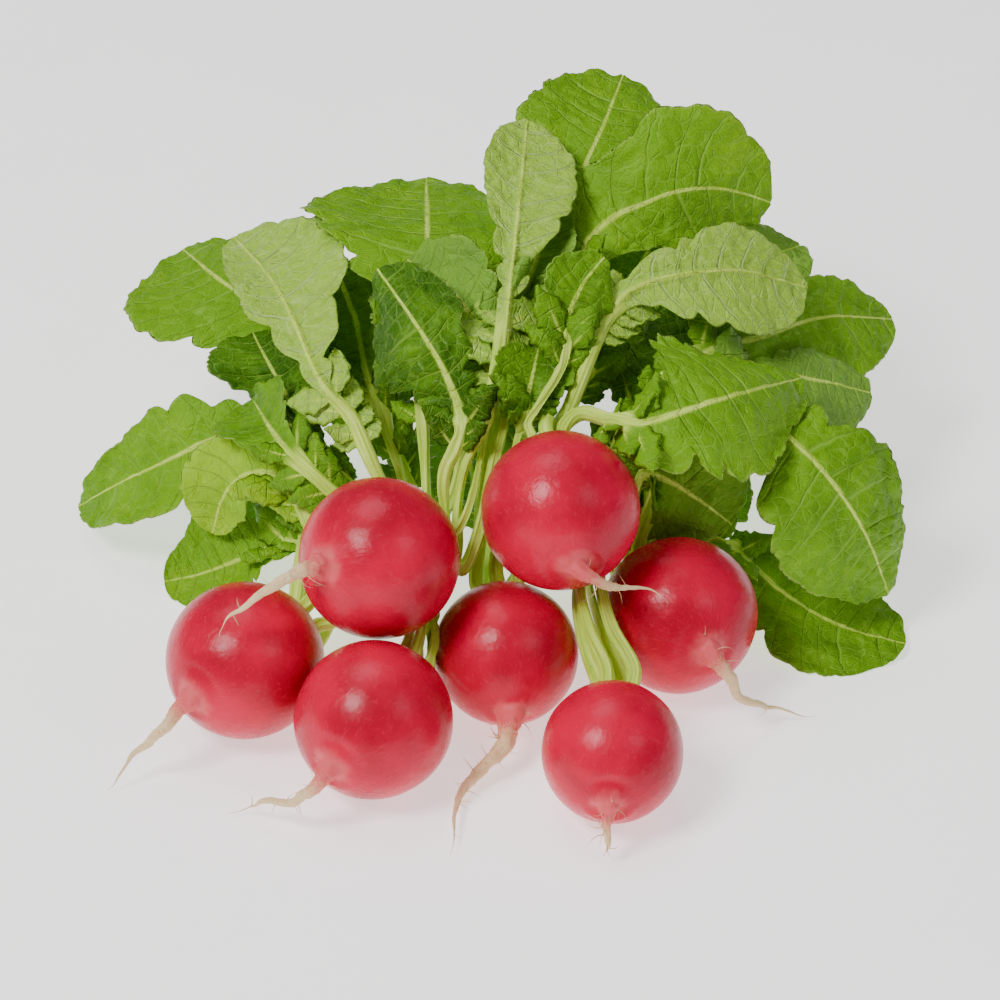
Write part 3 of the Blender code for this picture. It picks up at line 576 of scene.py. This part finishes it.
leafStyles = {
    "leaf_right_arched": {"toneAndShade": 0.5, "lobed": 0.5, "fullness": 1.4},
    "leaf_right_hanging": {"toneAndShade": 0.42, "blister": 0.4},
    "leaf_right_wrinkled": {"toneAndShade": 0.35, "bloom": 0.2, "ruffle": 1.0, "fullness": 1.4},
    "leaf_right_low": {"toneAndShade": 0.4, "blister": 0.4},
    "leaf_centre_small": {"toneAndShade": 0.35},
    "leaf_centre_front": {"toneAndShade": 0.3, "gloss": 0.3, "fullness": 1.3},
    "leaf_tall_pale": {"toneAndShade": 0.6, "lobed": 0.55},
    "leaf_glossy_cupped": {"toneAndShade": 0.12, "gloss": 1.0, "lobed": 0.45, "fullness": 1.25},
    "leaf_left_pale": {"toneAndShade": 0.6, "lobed": 0.55},
    "leaf_left_folded": {"toneAndShade": 0.35, "fullness": 1.3},
    "leaf_centre_folded": {"toneAndShade": 0.35, "bloom": 0.5, "fullness": 1.25},
    "leaf_centre_rolled": {"toneAndShade": 0.4, "bloom": 0.6},
    "leaf_right_pale": {"toneAndShade": 0.7},
    "leaf_right_broad": {"toneAndShade": 0.55, "depth": 0.06, "lobed": 0.0},
    "leaf_right_inner": {"toneAndShade": 0.3, "bloom": 0.6},
    "leaf_left_fan": {"toneAndShade": 0.85},
    "leaf_left_inner": {"toneAndShade": 0.25, "fullness": 1.3},
    "leaf_left_dark": {"toneAndShade": 0.12, "fullness": 1.3},
    "leaf_left_low": {"toneAndShade": 0.5},
    "leaf_right_far": {"toneAndShade": 0.45},
    # its dark tone is partly its own green and partly painted shade, as this leaf lies in the bunch's shade
    "leaf_right_shaded": {"toneAndShade": 0.15, "fullness": 1.35, "lobed": 0.1},
    "leaf_left_long": {"toneAndShade": 0.5},
    "leaf_left_round": {"toneAndShade": 0.5, "depth": 0.04, "fullness": 1.2},
    "leaf_back_round": {"toneAndShade": 0.5, "depth": 0.04, "fullness": 1.35},
    # leaves behind the bunch: their darker tone is partly their own green and partly painted shade of the
    # bunch's inside
    "leaf_behind_centre": {"toneAndShade": 0.3, "detail": 0.7, "fullness": 1.4, "lobed": 0.0},
    "leaf_behind_right": {"toneAndShade": 0.3, "detail": 0.7, "fullness": 1.4, "lobed": 0.0},
    "leaf_behind_left": {"toneAndShade": 0.3, "detail": 0.7, "fullness": 1.4, "lobed": 0.0},
    "leaf_behind_far_right": {"toneAndShade": 0.3, "detail": 0.7, "fullness": 1.35, "lobed": 0.0},
    "leaf_back_small": {"toneAndShade": 0.4, "fullness": 1.3},
    "leaf_back_top": {"toneAndShade": 0.5},
    "leaf_right_back": {"toneAndShade": 0.35, "bloom": 0.6, "fullness": 1.3},
    "leaf_low_dark": {"toneAndShade": 0.1, "fullness": 1.4, "lobed": 0.1},
    # leaves inside the bunch: their darker tone is partly their own green and partly painted shade of the
    # bunch's inside
    "leaf_inside_middle": {"toneAndShade": 0.25, "detail": 0.7, "fullness": 1.4, "lobed": 0.0},
    "leaf_inside_left": {"toneAndShade": 0.25, "detail": 0.7, "fullness": 1.4, "lobed": 0.0},
    "leaf_inside_right": {"toneAndShade": 0.25, "detail": 0.7, "fullness": 1.4, "lobed": 0.0},
    "leaf_back_low": {"toneAndShade": 0.4, "detail": 0.8},
    "leaf_back_right_low": {"toneAndShade": 0.4, "detail": 0.8},
    "leaf_back_left_low": {"toneAndShade": 0.4, "detail": 0.8},
}

# rings on the CAD leaf, and rows and columns on the fine one
leafGrid = {"stalkRings": 8, "bladeRings": 9, "stalkRows": 44, "bladeRows": 120, "columns": 49}

# how far up through the CAD leaf its middle sheet runs
sheetShare = {"stalk": 1 / 1.62, "blade": 1 / 1.45}

# half thicknesses in millimetres, and how far ribs and veins stand out
leafBody = {
    "stalk": 1.55,
    "blade": 0.20,
    "ridge": 0.07,
    "groove": 0.55,
    "ribFoot": 1.25,
    "ribTaper": 0.98,
    "ribAbove": 0.22,
    "veinAbove": -0.08,
    "veinBelow": 0.22,
    "veinWidth": 0.75,
}


# the node's rings in order, each starting at the left edge and going over the leaf's upper side
def readLeaf(name):
    points, _, near = weldedNode(name)
    poles = [v for v, others in enumerate(near) if len(others) == 8]

    def flatness(pole):
        ring = points[sorted(near[pole])]
        reach = np.linalg.norm(ring - ring.mean(0), axis=1)
        return reach.max() / reach.min()

    rings = ringsFrom([min(poles, key=flatness)], near)[1:-1]
    first = min(rings[0])
    found = []
    for second in sorted(near[first] & rings[0]):
        order = [first, second]
        while len(order) < len(rings[0]):
            order.append(next(v for v in sorted(near[order[-1]] & rings[0]) if v not in order))
        ordered = [order]
        for ring in rings[1:]:
            order = [min(near[order[k - 1]] & near[order[k]] & ring) for k in range(len(order))]
            ordered.append(order)
        grid = points[np.array(ordered)]
        found.append((np.linalg.norm(np.diff(grid, axis=0), axis=2).sum(), grid))
    grid = min(found, key=lambda one: one[0])[1]
    stalk = leafGrid["stalkRings"]
    spans = [np.linalg.norm(grid[stalk:, k] - grid[stalk:, k + 4], axis=1).sum() for k in range(4)]
    grid = np.roll(grid, -int(np.argmax(spans)), axis=1)
    middle = (grid[:stalk, 0] + grid[:stalk, 4]) / 2
    # the stalk is grooved on its upper side, so that side is nearer its middle
    upperGap, lowerGap = [np.linalg.norm(grid[:stalk, k] - middle, axis=1).sum() for k in (2, 6)]
    if upperGap > lowerGap:
        grid = np.roll(grid, -4, axis=1)
    share = np.full((len(grid), 3, 1), 0.5)
    share[:stalk, 1] = sheetShare["stalk"]
    share[stalk:, 1] = sheetShare["blade"]
    inner = grid[:, 1:4] * share + grid[:, [7, 6, 5]] * (1 - share)
    return np.concatenate([grid[:, :1], inner, grid[:, 4:5]], axis=1)


# points of a smooth surface through a grid of points, at fractional rows and columns
def surfaceAt(sheet, rows, columns):
    wide = np.concatenate([2 * sheet[:1] - sheet[1:2], sheet, 2 * sheet[-1:] - sheet[-2:-1]])
    wide = np.concatenate([2 * wide[:, :1] - wide[:, 1:2], wide, 2 * wide[:, -1:] - wide[:, -2:-1]], axis=1)

    def shares(where, count):
        start = np.clip(np.floor(where).astype(int), 0, count - 2)
        t = where - start
        return start, 0.5 * np.array([-t + 2 * t ** 2 - t ** 3, 2 - 5 * t ** 2 + 3 * t ** 3,
                                      t + 4 * t ** 2 - 3 * t ** 3, t ** 3 - t ** 2])

    i, alongShare = shares(rows, len(sheet))
    j, acrossShare = shares(columns, sheet.shape[1])
    total = np.zeros(rows.shape + (3,))
    for a in range(4):
        for b in range(4):
            total += (alongShare[a] * acrossShare[b])[..., None] * wide[i + a, j + b]
    return total


# soft bumps between -1 and 1 over two coordinates in millimetres
def bumpsAt(x, y, size, seed):
    flat = [noise.noise(Vector((a / size, b / size, seed * 3.7))) for a, b in zip(x.ravel(), y.ravel())]
    return np.array(flat).reshape(x.shape) * 1.6


# how much of the drawn half width the blade keeps: lobes, teeth, leaflets below and a round tip
def outlineAt(blade, halfWidth, style, seed):
    count = style["lobes"]
    phase = blade * count + seed * 0.37 % 1 + 0.5 * bumpsAt(blade * 10, blade * 0 + 7, 2.4, seed)
    lobe = abs(np.sin(math.pi * phase)) ** 0.6
    tooth = abs(np.sin(math.pi * (phase * 2.63 + seed))) ** 0.8
    low = 1 - smoothStep(0.10, 0.42, blade)
    uneven = 1 + 0.8 * bumpsAt(blade * 10, blade * 0, 1.1, seed)
    keep = 1 - style["depth"] * uneven * (1 - lobe) - 0.018 * (1 - tooth)
    keep += 0.05 * bumpsAt(blade * 10, blade * 0 + 3, 2.0, seed + 3)
    keep *= 1 - style["lobed"] * low * (1 - lobe ** 1.5) * 0.85
    keep *= 1 - 0.25 * style["lobed"] * low
    tip = np.clip(blade - 0.88, 0, 1) / 0.12
    keep *= style["fullness"] * np.sqrt(np.clip(1 - tip ** 2 * 0.985, 0, 1))
    return np.maximum(keep, np.minimum(1, 0.9 / halfWidth)), phase


# a grid's values for its upper points, and the same ones again for the points of the underside
def bothSides(values):
    return np.concatenate([values, values[:, -2:0:-1]], axis=1)


# a small jagged leaflet that grows from one side of the stalk below the blade
def makeLeaflet(sheet, number, style, seed):
    left = number % 2 == 0
    chance = [noise.noise(Vector((seed * 5.1, number * 2.3, k * 7.7))) for k in range(5)]
    level = leafGrid["stalkRings"] - 0.3 - 0.5 * (number // 2) - 0.5 * abs(chance[0])
    spot = np.array([level, level + 0.2, level])
    foot, ahead, edge = surfaceAt(sheet, spot, np.array([2.0, 2.0, 0.0 if left else 4.0]))
    ahead, out = ahead - foot, edge - foot
    ahead, out = ahead / np.linalg.norm(ahead), out / np.linalg.norm(out)
    up = np.cross(out, ahead) * (-1 if left else 1)
    up /= np.linalg.norm(up)
    way = out * (0.8 + 0.4 * chance[1]) + ahead * (0.7 + 0.5 * chance[2]) + up * (0.25 + 0.8 * chance[3])
    way /= np.linalg.norm(way)
    over = up - way * (up @ way)
    over /= np.linalg.norm(over)
    across = np.cross(way, over)
    length = style["leafletSize"] * (1 - 0.13 * (number // 2)) * (1 + 0.5 * chance[4])
    s, t = np.meshgrid(np.linspace(0, 1, 15), np.linspace(-1, 1, 7), indexing="ij")
    jagged = 1 - 0.30 * abs(np.sin(s * 11 + seed))
    width = length * (0.05 + 0.34 * np.sin(math.pi * s ** 0.8) * jagged)
    curl = 0.16 * np.sin(2.2 * s + chance[0] * 3) + 0.10 * t * np.sin(5 * s + seed) - 0.10 * t ** 2
    middle = foot + out * 0.9 + way * (s * length)[..., None] + across * (t * width)[..., None]
    middle = middle + over * (length * curl * s)[..., None]
    thick = (0.18 + 0.25 * np.exp(-(t / 0.25) ** 2) * (1 - s)) * (1 - t ** 6)
    top, low = middle + over * thick[..., None], middle - over * thick[..., None]
    ring = np.concatenate([top, low[:, -2:0:-1]], axis=1)
    side = np.concatenate([np.ones_like(t), t[:, -2:0:-1] * 0], axis=1)
    blank = side * 0
    rib = bothSides(np.exp(-(t / 0.16) ** 2) * (1 - s))
    return {
        "ring": ring,
        "leafPlace": np.stack([bothSides(s * length + number * 20), bothSides(t * width), blank + seed], 2),
        "leafVein": np.stack([bothSides(s * 3), bothSides(abs(t)), blank + 0.3], 2),
        "leafKind": np.stack([blank, rib, side], 2),
        "hairMask": blank,
    }


# one mesh from closed tubes of rings, with their values on its points
def joinRings(name, parts):
    faces, start = [], 0
    for part in parts:
        rows, sides = part["ring"].shape[:2]
        faces += [tuple(v + start for v in face) for face in tubeFaces(rows, sides)]
        start += rows * sides
    points = np.concatenate([part["ring"].reshape(-1, 3) for part in parts])
    points[:, 2] = liftOffFloor(points[:, 2])
    mesh = newMesh(name, points * mm, faces)
    for key in ("leafPlace", "leafVein", "leafKind"):
        setPointVectors(mesh, key, np.concatenate([part[key].reshape(-1, 3) for part in parts]))
    setPointValues(mesh, "hairMask", np.concatenate([part["hairMask"].ravel() for part in parts]))
    return mesh


# the fine leaf's grid of rows and columns laid over the coarse sheet
def spreadLeaf(sheet, style, seed):
    stalkRings, bladeRings = leafGrid["stalkRings"], leafGrid["bladeRings"]
    stalkRows = int(leafGrid["stalkRows"] * style["detail"])
    bladeRows = int(leafGrid["bladeRows"] * style["detail"])
    columns = int(leafGrid["columns"] * style["detail"]) // 2 * 2 + 1
    level = np.concatenate([np.linspace(0, stalkRings - 0.6, stalkRows),
                            np.linspace(stalkRings - 0.6, stalkRings + bladeRings - 1, bladeRows + 1)[1:]])
    blade = np.clip((level - stalkRings) / (bladeRings - 1), 0, 1)
    bladeness = smoothStep(stalkRings - 1.1, stalkRings + 0.25, level)[:, None]
    t = np.linspace(-1, 1, columns)[None]
    v = np.sin(t * math.pi / 2) * (1 - bladeness) + t * bladeness
    coarse = np.arange(len(sheet))
    halfWidth = np.interp(level, coarse, np.linalg.norm(sheet[:, 4] - sheet[:, 0], axis=1) / 2)
    keepLeft, phaseLeft = outlineAt(blade, halfWidth, style, seed)
    keepRight, phaseRight = outlineAt(blade, halfWidth, style, seed + 0.61)
    keep = np.where(v < 0, keepLeft[:, None], keepRight[:, None])
    reach = v * (1 + (keep - 1) * bladeness)
    lean = 1.1 * abs(v) ** 1.3 * np.sin(math.pi * blade)[:, None]
    rows = np.clip(level[:, None] + lean, 0, len(sheet) - 1)
    run = np.concatenate([[0], np.cumsum(np.linalg.norm(np.diff(sheet[:, 2], axis=0), axis=1))])
    return {
        "blade": blade[:, None],
        "bladeness": bladeness,
        "t": t,
        "v": v,
        "phase": np.where(v < 0, phaseLeft[:, None], phaseRight[:, None]),
        "places": surfaceAt(sheet, rows, reach * 2 + 2),
        "along": np.interp(rows, coarse, run),
        "across": reach * halfWidth[:, None],
        "veinSpacing": np.gradient(run)[stalkRings:].mean() * (bladeRings - 1) / style["lobes"],
    }


# blisters between the veins, and waves and frills towards the edge, in millimetres off the sheet
def leafLift(grid, style, seed, ribs):
    v, along, across, bladeness = grid["v"], grid["along"], grid["across"], grid["bladeness"]
    blisters = 0.3 + bumpsAt(along, across, 3.6, seed) + 0.9 * bumpsAt(along, across, 1.8, seed + 2)
    waves = v ** 2 * bumpsAt(along, across, 8.0, seed + 5)
    frills = 0.35 * abs(v) ** 4 * bumpsAt(along, across, 2.6, seed + 9)
    lift = style["blister"] * (1 - ribs) * blisters + style["ruffle"] * (waves + frills)
    return lift * bladeness * smoothStep(0, 0.12, grid["blade"])


# thickness above and below the sheet: a round grooved stalk, and a thin blade with ribs below
def leafThickness(grid, rib, ribWidth, vein):
    t, v, bladeness = grid["t"], grid["v"], grid["bladeness"]
    stalkness = 1 - bladeness
    body = leafBody["stalk"] * np.sqrt(np.clip(1 - v ** 2, 0, 1)) * stalkness
    body = body + leafBody["blade"] * (1 - abs(t) ** 6) * bladeness
    ridges = leafBody["ridge"] * np.cos(t * math.pi * 5) * stalkness
    groove = leafBody["groove"] * np.exp(-(v / 0.35) ** 2) * stalkness
    swell = ribWidth * rib * bladeness
    edge = 1 - abs(t) ** 8
    above = body + (ridges - groove + leafBody["ribAbove"] * swell + leafBody["veinAbove"] * vein) * edge
    below = body + (ridges + swell + leafBody["veinBelow"] * vein) * edge
    return above[..., None], below[..., None]


def makeLeaf(name, number, material):
    style = {**leafSettings, **leafStyles[name]}
    sheet = readLeaf(name)
    seed = number * 1.73 + 2
    grid = spreadLeaf(sheet, style, seed)
    blade, bladeness, v, phase = grid["blade"], grid["bladeness"], grid["v"], grid["phase"]
    ribWidth = leafBody["ribFoot"] - leafBody["ribTaper"] * blade ** 0.6
    rib = np.exp(-(grid["across"] / (0.8 * ribWidth)) ** 2)
    veinGap = abs((phase % 1) - 0.5) * grid["veinSpacing"]
    vein = np.exp(-(veinGap / leafBody["veinWidth"]) ** 2) * (1 - 0.5 * abs(v)) * bladeness

    places = grid["places"]
    normal = np.cross(np.gradient(places, axis=1), np.gradient(places, axis=0))
    normal /= np.linalg.norm(normal, axis=2, keepdims=True) + 1e-9
    centre = places + normal * leafLift(grid, style, seed, np.maximum(rib, vein))[..., None]
    above, below = leafThickness(grid, rib, ribWidth, vein)
    top, low = centre + normal * above, centre - normal * below

    full, stalkness = np.ones_like(v), 1 - bladeness
    side = np.concatenate([full, full[:, -2:0:-1] * 0], axis=1)
    parts = [{
        "ring": np.concatenate([top, low[:, -2:0:-1]], axis=1),
        "leafPlace": np.stack([bothSides(grid["along"]), bothSides(grid["across"]), side * 0 + seed], 2),
        "leafVein": np.stack([bothSides(phase), bothSides(abs(v)), bothSides(blade * full)], 2),
        "leafKind": np.stack([bothSides(stalkness * full), bothSides(np.maximum(rib, stalkness)), side], 2),
        "hairMask": bothSides((1 - smoothStep(0, 0.25, blade)) * rib),
    }]
    parts += [makeLeaflet(sheet, n, style, seed) for n in range(style["leaflets"])]
    mesh = joinRings(name + "_blade", parts)
    # the tone carries painted shade on the shaded, behind and inside leaves
    toneAndShade = [style["toneAndShade"], style["bloom"], style["gloss"]]
    setPointVectors(mesh, "leafToneAndShade", np.broadcast_to(toneAndShade, (len(mesh.vertices), 3)))
    mesh.materials.append(material)
    slotName = next(part["material_slot"] for part in frame["record"]["subparts"] if part["node"] == name)
    return addPiece(name + "_fine", mesh, slotName, name)


# rootlets and stalk hairs: length and thickness in millimetres, density per square metre of skin
rootletSettings = {
    "radish_top_right": {"density": 60000, "length": 3.6, "bend": 0.8},
    "radish_top_left": {"density": 50000, "length": 3.6, "bend": 0.9},
    "radish_far_left": {"density": 36000, "length": 2.6, "bend": 0.5},
    "radish_far_right": {"density": 38000, "length": 2.8, "bend": 0.6},
    "radish_front_left": {"density": 40000, "length": 2.8, "bend": 0.6},
    "radish_middle": {"density": 80000, "length": 3.4, "bend": 0.5},
    "radish_front_right": {"density": 260000, "length": 3.0, "bend": 0.7},
}

hairSettings = {"density": 260000, "length": 1.1, "bend": 0.3}
hairThickness = {"rootlet": 0.11, "stalkHair": 0.035}


# a tree that scatters bent tapering hairs over the skin where the named mask is high
def makeHairTree():
    tree = bpy.data.node_groups.new("scatteredHairs", "GeometryNodeTree")
    inputs = {"Skin": "Geometry", "Mask": "String", "Density": "Float", "Length": "Float",
              "Thickness": "Float", "Bend": "Float", "Seed": "Int", "Material": "Material"}
    for name, kind in inputs.items():
        tree.interface.new_socket(name, in_out="INPUT", socket_type="NodeSocket" + kind)
    tree.interface.new_socket("Hairs", in_out="OUTPUT", socket_type="NodeSocketGeometry")
    nodes, links = tree.nodes, tree.links
    given = nodes.new("NodeGroupInput").outputs
    result = nodes.new("NodeGroupOutput").inputs["Hairs"]

    mask = nodes.new("GeometryNodeInputNamedAttribute")
    mask.data_type = "FLOAT"
    links.new(given["Mask"], mask.inputs["Name"])
    density = mathNode(nodes, links, "MULTIPLY", mask.outputs["Attribute"], given["Density"])
    scatter = nodes.new("GeometryNodeDistributePointsOnFaces")
    links.new(given["Skin"], scatter.inputs["Mesh"])
    links.new(density, scatter.inputs["Density"])
    links.new(given["Seed"], scatter.inputs["Seed"])

    # one hair of unit height, bent sideways and thinner towards its tip
    bow = nodes.new("GeometryNodeCurveQuadraticBezier")
    bow.inputs["Resolution"].default_value = 5
    bow.inputs["Start"].default_value = (0, 0, -0.05)
    bow.inputs["Middle"].default_value = (0, 0, 0.6)
    tip = nodes.new("ShaderNodeCombineXYZ")
    links.new(given["Bend"], tip.inputs["X"])
    tip.inputs["Z"].default_value = 0.9
    links.new(tip.outputs[0], bow.inputs["End"])
    share = nodes.new("GeometryNodeSplineParameter").outputs["Factor"]
    fading = mathNode(nodes, links, "SUBTRACT", 1.1, share)
    section = nodes.new("GeometryNodeCurvePrimitiveCircle")
    section.inputs["Resolution"].default_value = 4
    section.inputs["Radius"].default_value = 1.0
    skin = nodes.new("GeometryNodeCurveToMesh")
    links.new(bow.outputs[0], skin.inputs["Curve"])
    links.new(mathNode(nodes, links, "MULTIPLY", fading, given["Thickness"]), skin.inputs["Scale"])
    links.new(section.outputs[0], skin.inputs["Profile Curve"])
    skin.inputs["Fill Caps"].default_value = True

    turn = nodes.new("FunctionNodeRandomValue")
    turn.data_type = "FLOAT"
    turn.inputs[3].default_value = 6.28
    spin = nodes.new("FunctionNodeAxisAngleToRotation")
    links.new(turn.outputs[1], spin.inputs["Angle"])
    combine = nodes.new("FunctionNodeRotateRotation")
    combine.rotation_space = "LOCAL"
    links.new(scatter.outputs["Rotation"], combine.inputs["Rotation"])
    links.new(spin.outputs[0], combine.inputs["Rotate By"])
    size = nodes.new("FunctionNodeRandomValue")
    size.data_type = "FLOAT"
    size.inputs[2].default_value = 0.35
    size.inputs[3].default_value = 1.25
    links.new(given["Seed"], size.inputs["Seed"])
    scale = mathNode(nodes, links, "MULTIPLY", size.outputs[1], given["Length"])
    place = nodes.new("GeometryNodeInstanceOnPoints")
    links.new(scatter.outputs["Points"], place.inputs["Points"])
    links.new(skin.outputs[0], place.inputs["Instance"])
    links.new(combine.outputs[0], place.inputs["Rotation"])
    links.new(scale, place.inputs["Scale"])
    real = nodes.new("GeometryNodeRealizeInstances")
    links.new(place.outputs[0], real.inputs[0])
    paint = nodes.new("GeometryNodeSetMaterial")
    links.new(real.outputs[0], paint.inputs["Geometry"])
    links.new(given["Material"], paint.inputs["Material"])
    links.new(paint.outputs[0], result)
    return tree


# hairs over a piece's skin, made plain mesh
def growHairs(piece, name, settings, thickness, seed, material):
    guide = bpy.data.objects.new(name + "_guide", piece.data)
    bpy.context.scene.collection.objects.link(guide)
    modifier = guide.modifiers.new("hairs", "NODES")
    modifier.node_group = hairTree
    values = {
        "Mask": "hairMask",
        "Density": float(settings["density"]),
        "Length": settings["length"] * mm,
        "Thickness": thickness / settings["length"],
        "Bend": settings["bend"],
        "Seed": seed,
        "Material": material,
    }
    for item in hairTree.interface.items_tree:
        if item.in_out == "INPUT" and item.name in values:
            modifier[item.identifier] = values[item.name]
    guide.update_tag()
    seen = guide.evaluated_get(bpy.context.evaluated_depsgraph_get())
    mesh = bpy.data.meshes.new_from_object(seen)
    bpy.data.objects.remove(guide)
    mesh.name = name + "_mesh"
    for point in mesh.vertices:
        point.co.z = liftOffFloor(point.co.z / mm) * mm
    mesh.shade_smooth()
    return addPiece(name, mesh, piece["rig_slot"])


# building the bunch
skinMaterial = makeSkin()
leafMaterial = makeLeafSkin()
rootletMaterial = makePlain("rootletSkin", (0.74, 0.48, 0.26), 0.6, 900)
hairMaterial = makePlain("stalkHair", (0.72, 0.80, 0.50), 0.5, 900)
hairTree = makeHairTree()

radishNames = sorted(name for name in frame["nodes"] if name.startswith("radish"))
for number, name in enumerate(radishNames):
    radish = makeRadish(name, number * 3.1 + 1, skinMaterial)
    growHairs(radish, name + "_rootlets", rootletSettings[name], hairThickness["rootlet"],
              number + 3, rootletMaterial)
print("radishes grown:", len(radishNames))

leafNames = sorted(name for name in frame["nodes"] if name.startswith("leaf"))
for number, name in enumerate(leafNames):
    leaf = makeLeaf(name, number, leafMaterial)
    growHairs(leaf, name + "_hairs", hairSettings, hairThickness["stalkHair"],
              number + 40, hairMaterial)


# floor, light and camera
def makeFloor():
    mesh = newMesh("floorMesh", [(-4, -4, 0), (4, -4, 0), (4, 4, 0), (-4, 4, 0)], [(0, 1, 2, 3)], False)
    floor = bpy.data.objects.new("floor", mesh)
    bpy.context.scene.collection.objects.link(floor)
    paper = makePlain("floorPaper", stageSettings["floorColour"], 0.7, 30)
    shader = paper.node_tree.nodes["Principled BSDF"]
    shader.inputs["Emission Color"].default_value = (1, 1, 1, 1)
    shader.inputs["Emission Strength"].default_value = stageSettings["floorGlow"]
    mesh.materials.append(paper)
    floor.location.z = -stageSettings["floorGap"]


def aimed(thing, place, target):
    thing.location = place
    thing.rotation_euler = (Vector(target) - Vector(place)).to_track_quat("-Z", "Y").to_euler()


def placeAround(target, azimuth, elevation, distance):
    a, e = math.radians(azimuth), math.radians(elevation)
    flat = math.cos(e)
    return Vector(target) + distance * Vector((math.sin(a) * flat, -math.cos(a) * flat, math.sin(e)))


def makeLights():
    for name, (size, distance, azimuth, elevation, power, colour) in stageSettings["lights"].items():
        light = bpy.data.lights.new(name, "AREA")
        light.size, light.energy, light.color = size, power, colour
        lamp = bpy.data.objects.new(name, light)
        bpy.context.scene.collection.objects.link(lamp)
        aimed(lamp, placeAround((0, 0, 0.03), azimuth, elevation, distance), (0, 0, 0.03))
    world = bpy.data.worlds.new("paleRoom")
    world.use_nodes = True
    background = world.node_tree.nodes["Background"]
    background.inputs["Color"].default_value = (*stageSettings["worldColour"], 1)
    background.inputs["Strength"].default_value = stageSettings["worldStrength"]
    bpy.context.scene.world = world


def makeCamera():
    data = bpy.data.cameras.new("camera")
    camera = bpy.data.objects.new("camera", data)
    bpy.context.scene.collection.objects.link(camera)
    data.lens, data.sensor_width = cameraSettings["lens"], 36
    data.clip_start, data.clip_end = 0.01, 20
    target = cameraSettings["target"]
    aimed(camera, placeAround(target, 0, cameraSettings["elevation"], cameraSettings["distance"]), target)
    bpy.context.scene.camera = camera


makeFloor()
makeLights()
makeCamera()
print("stage set")
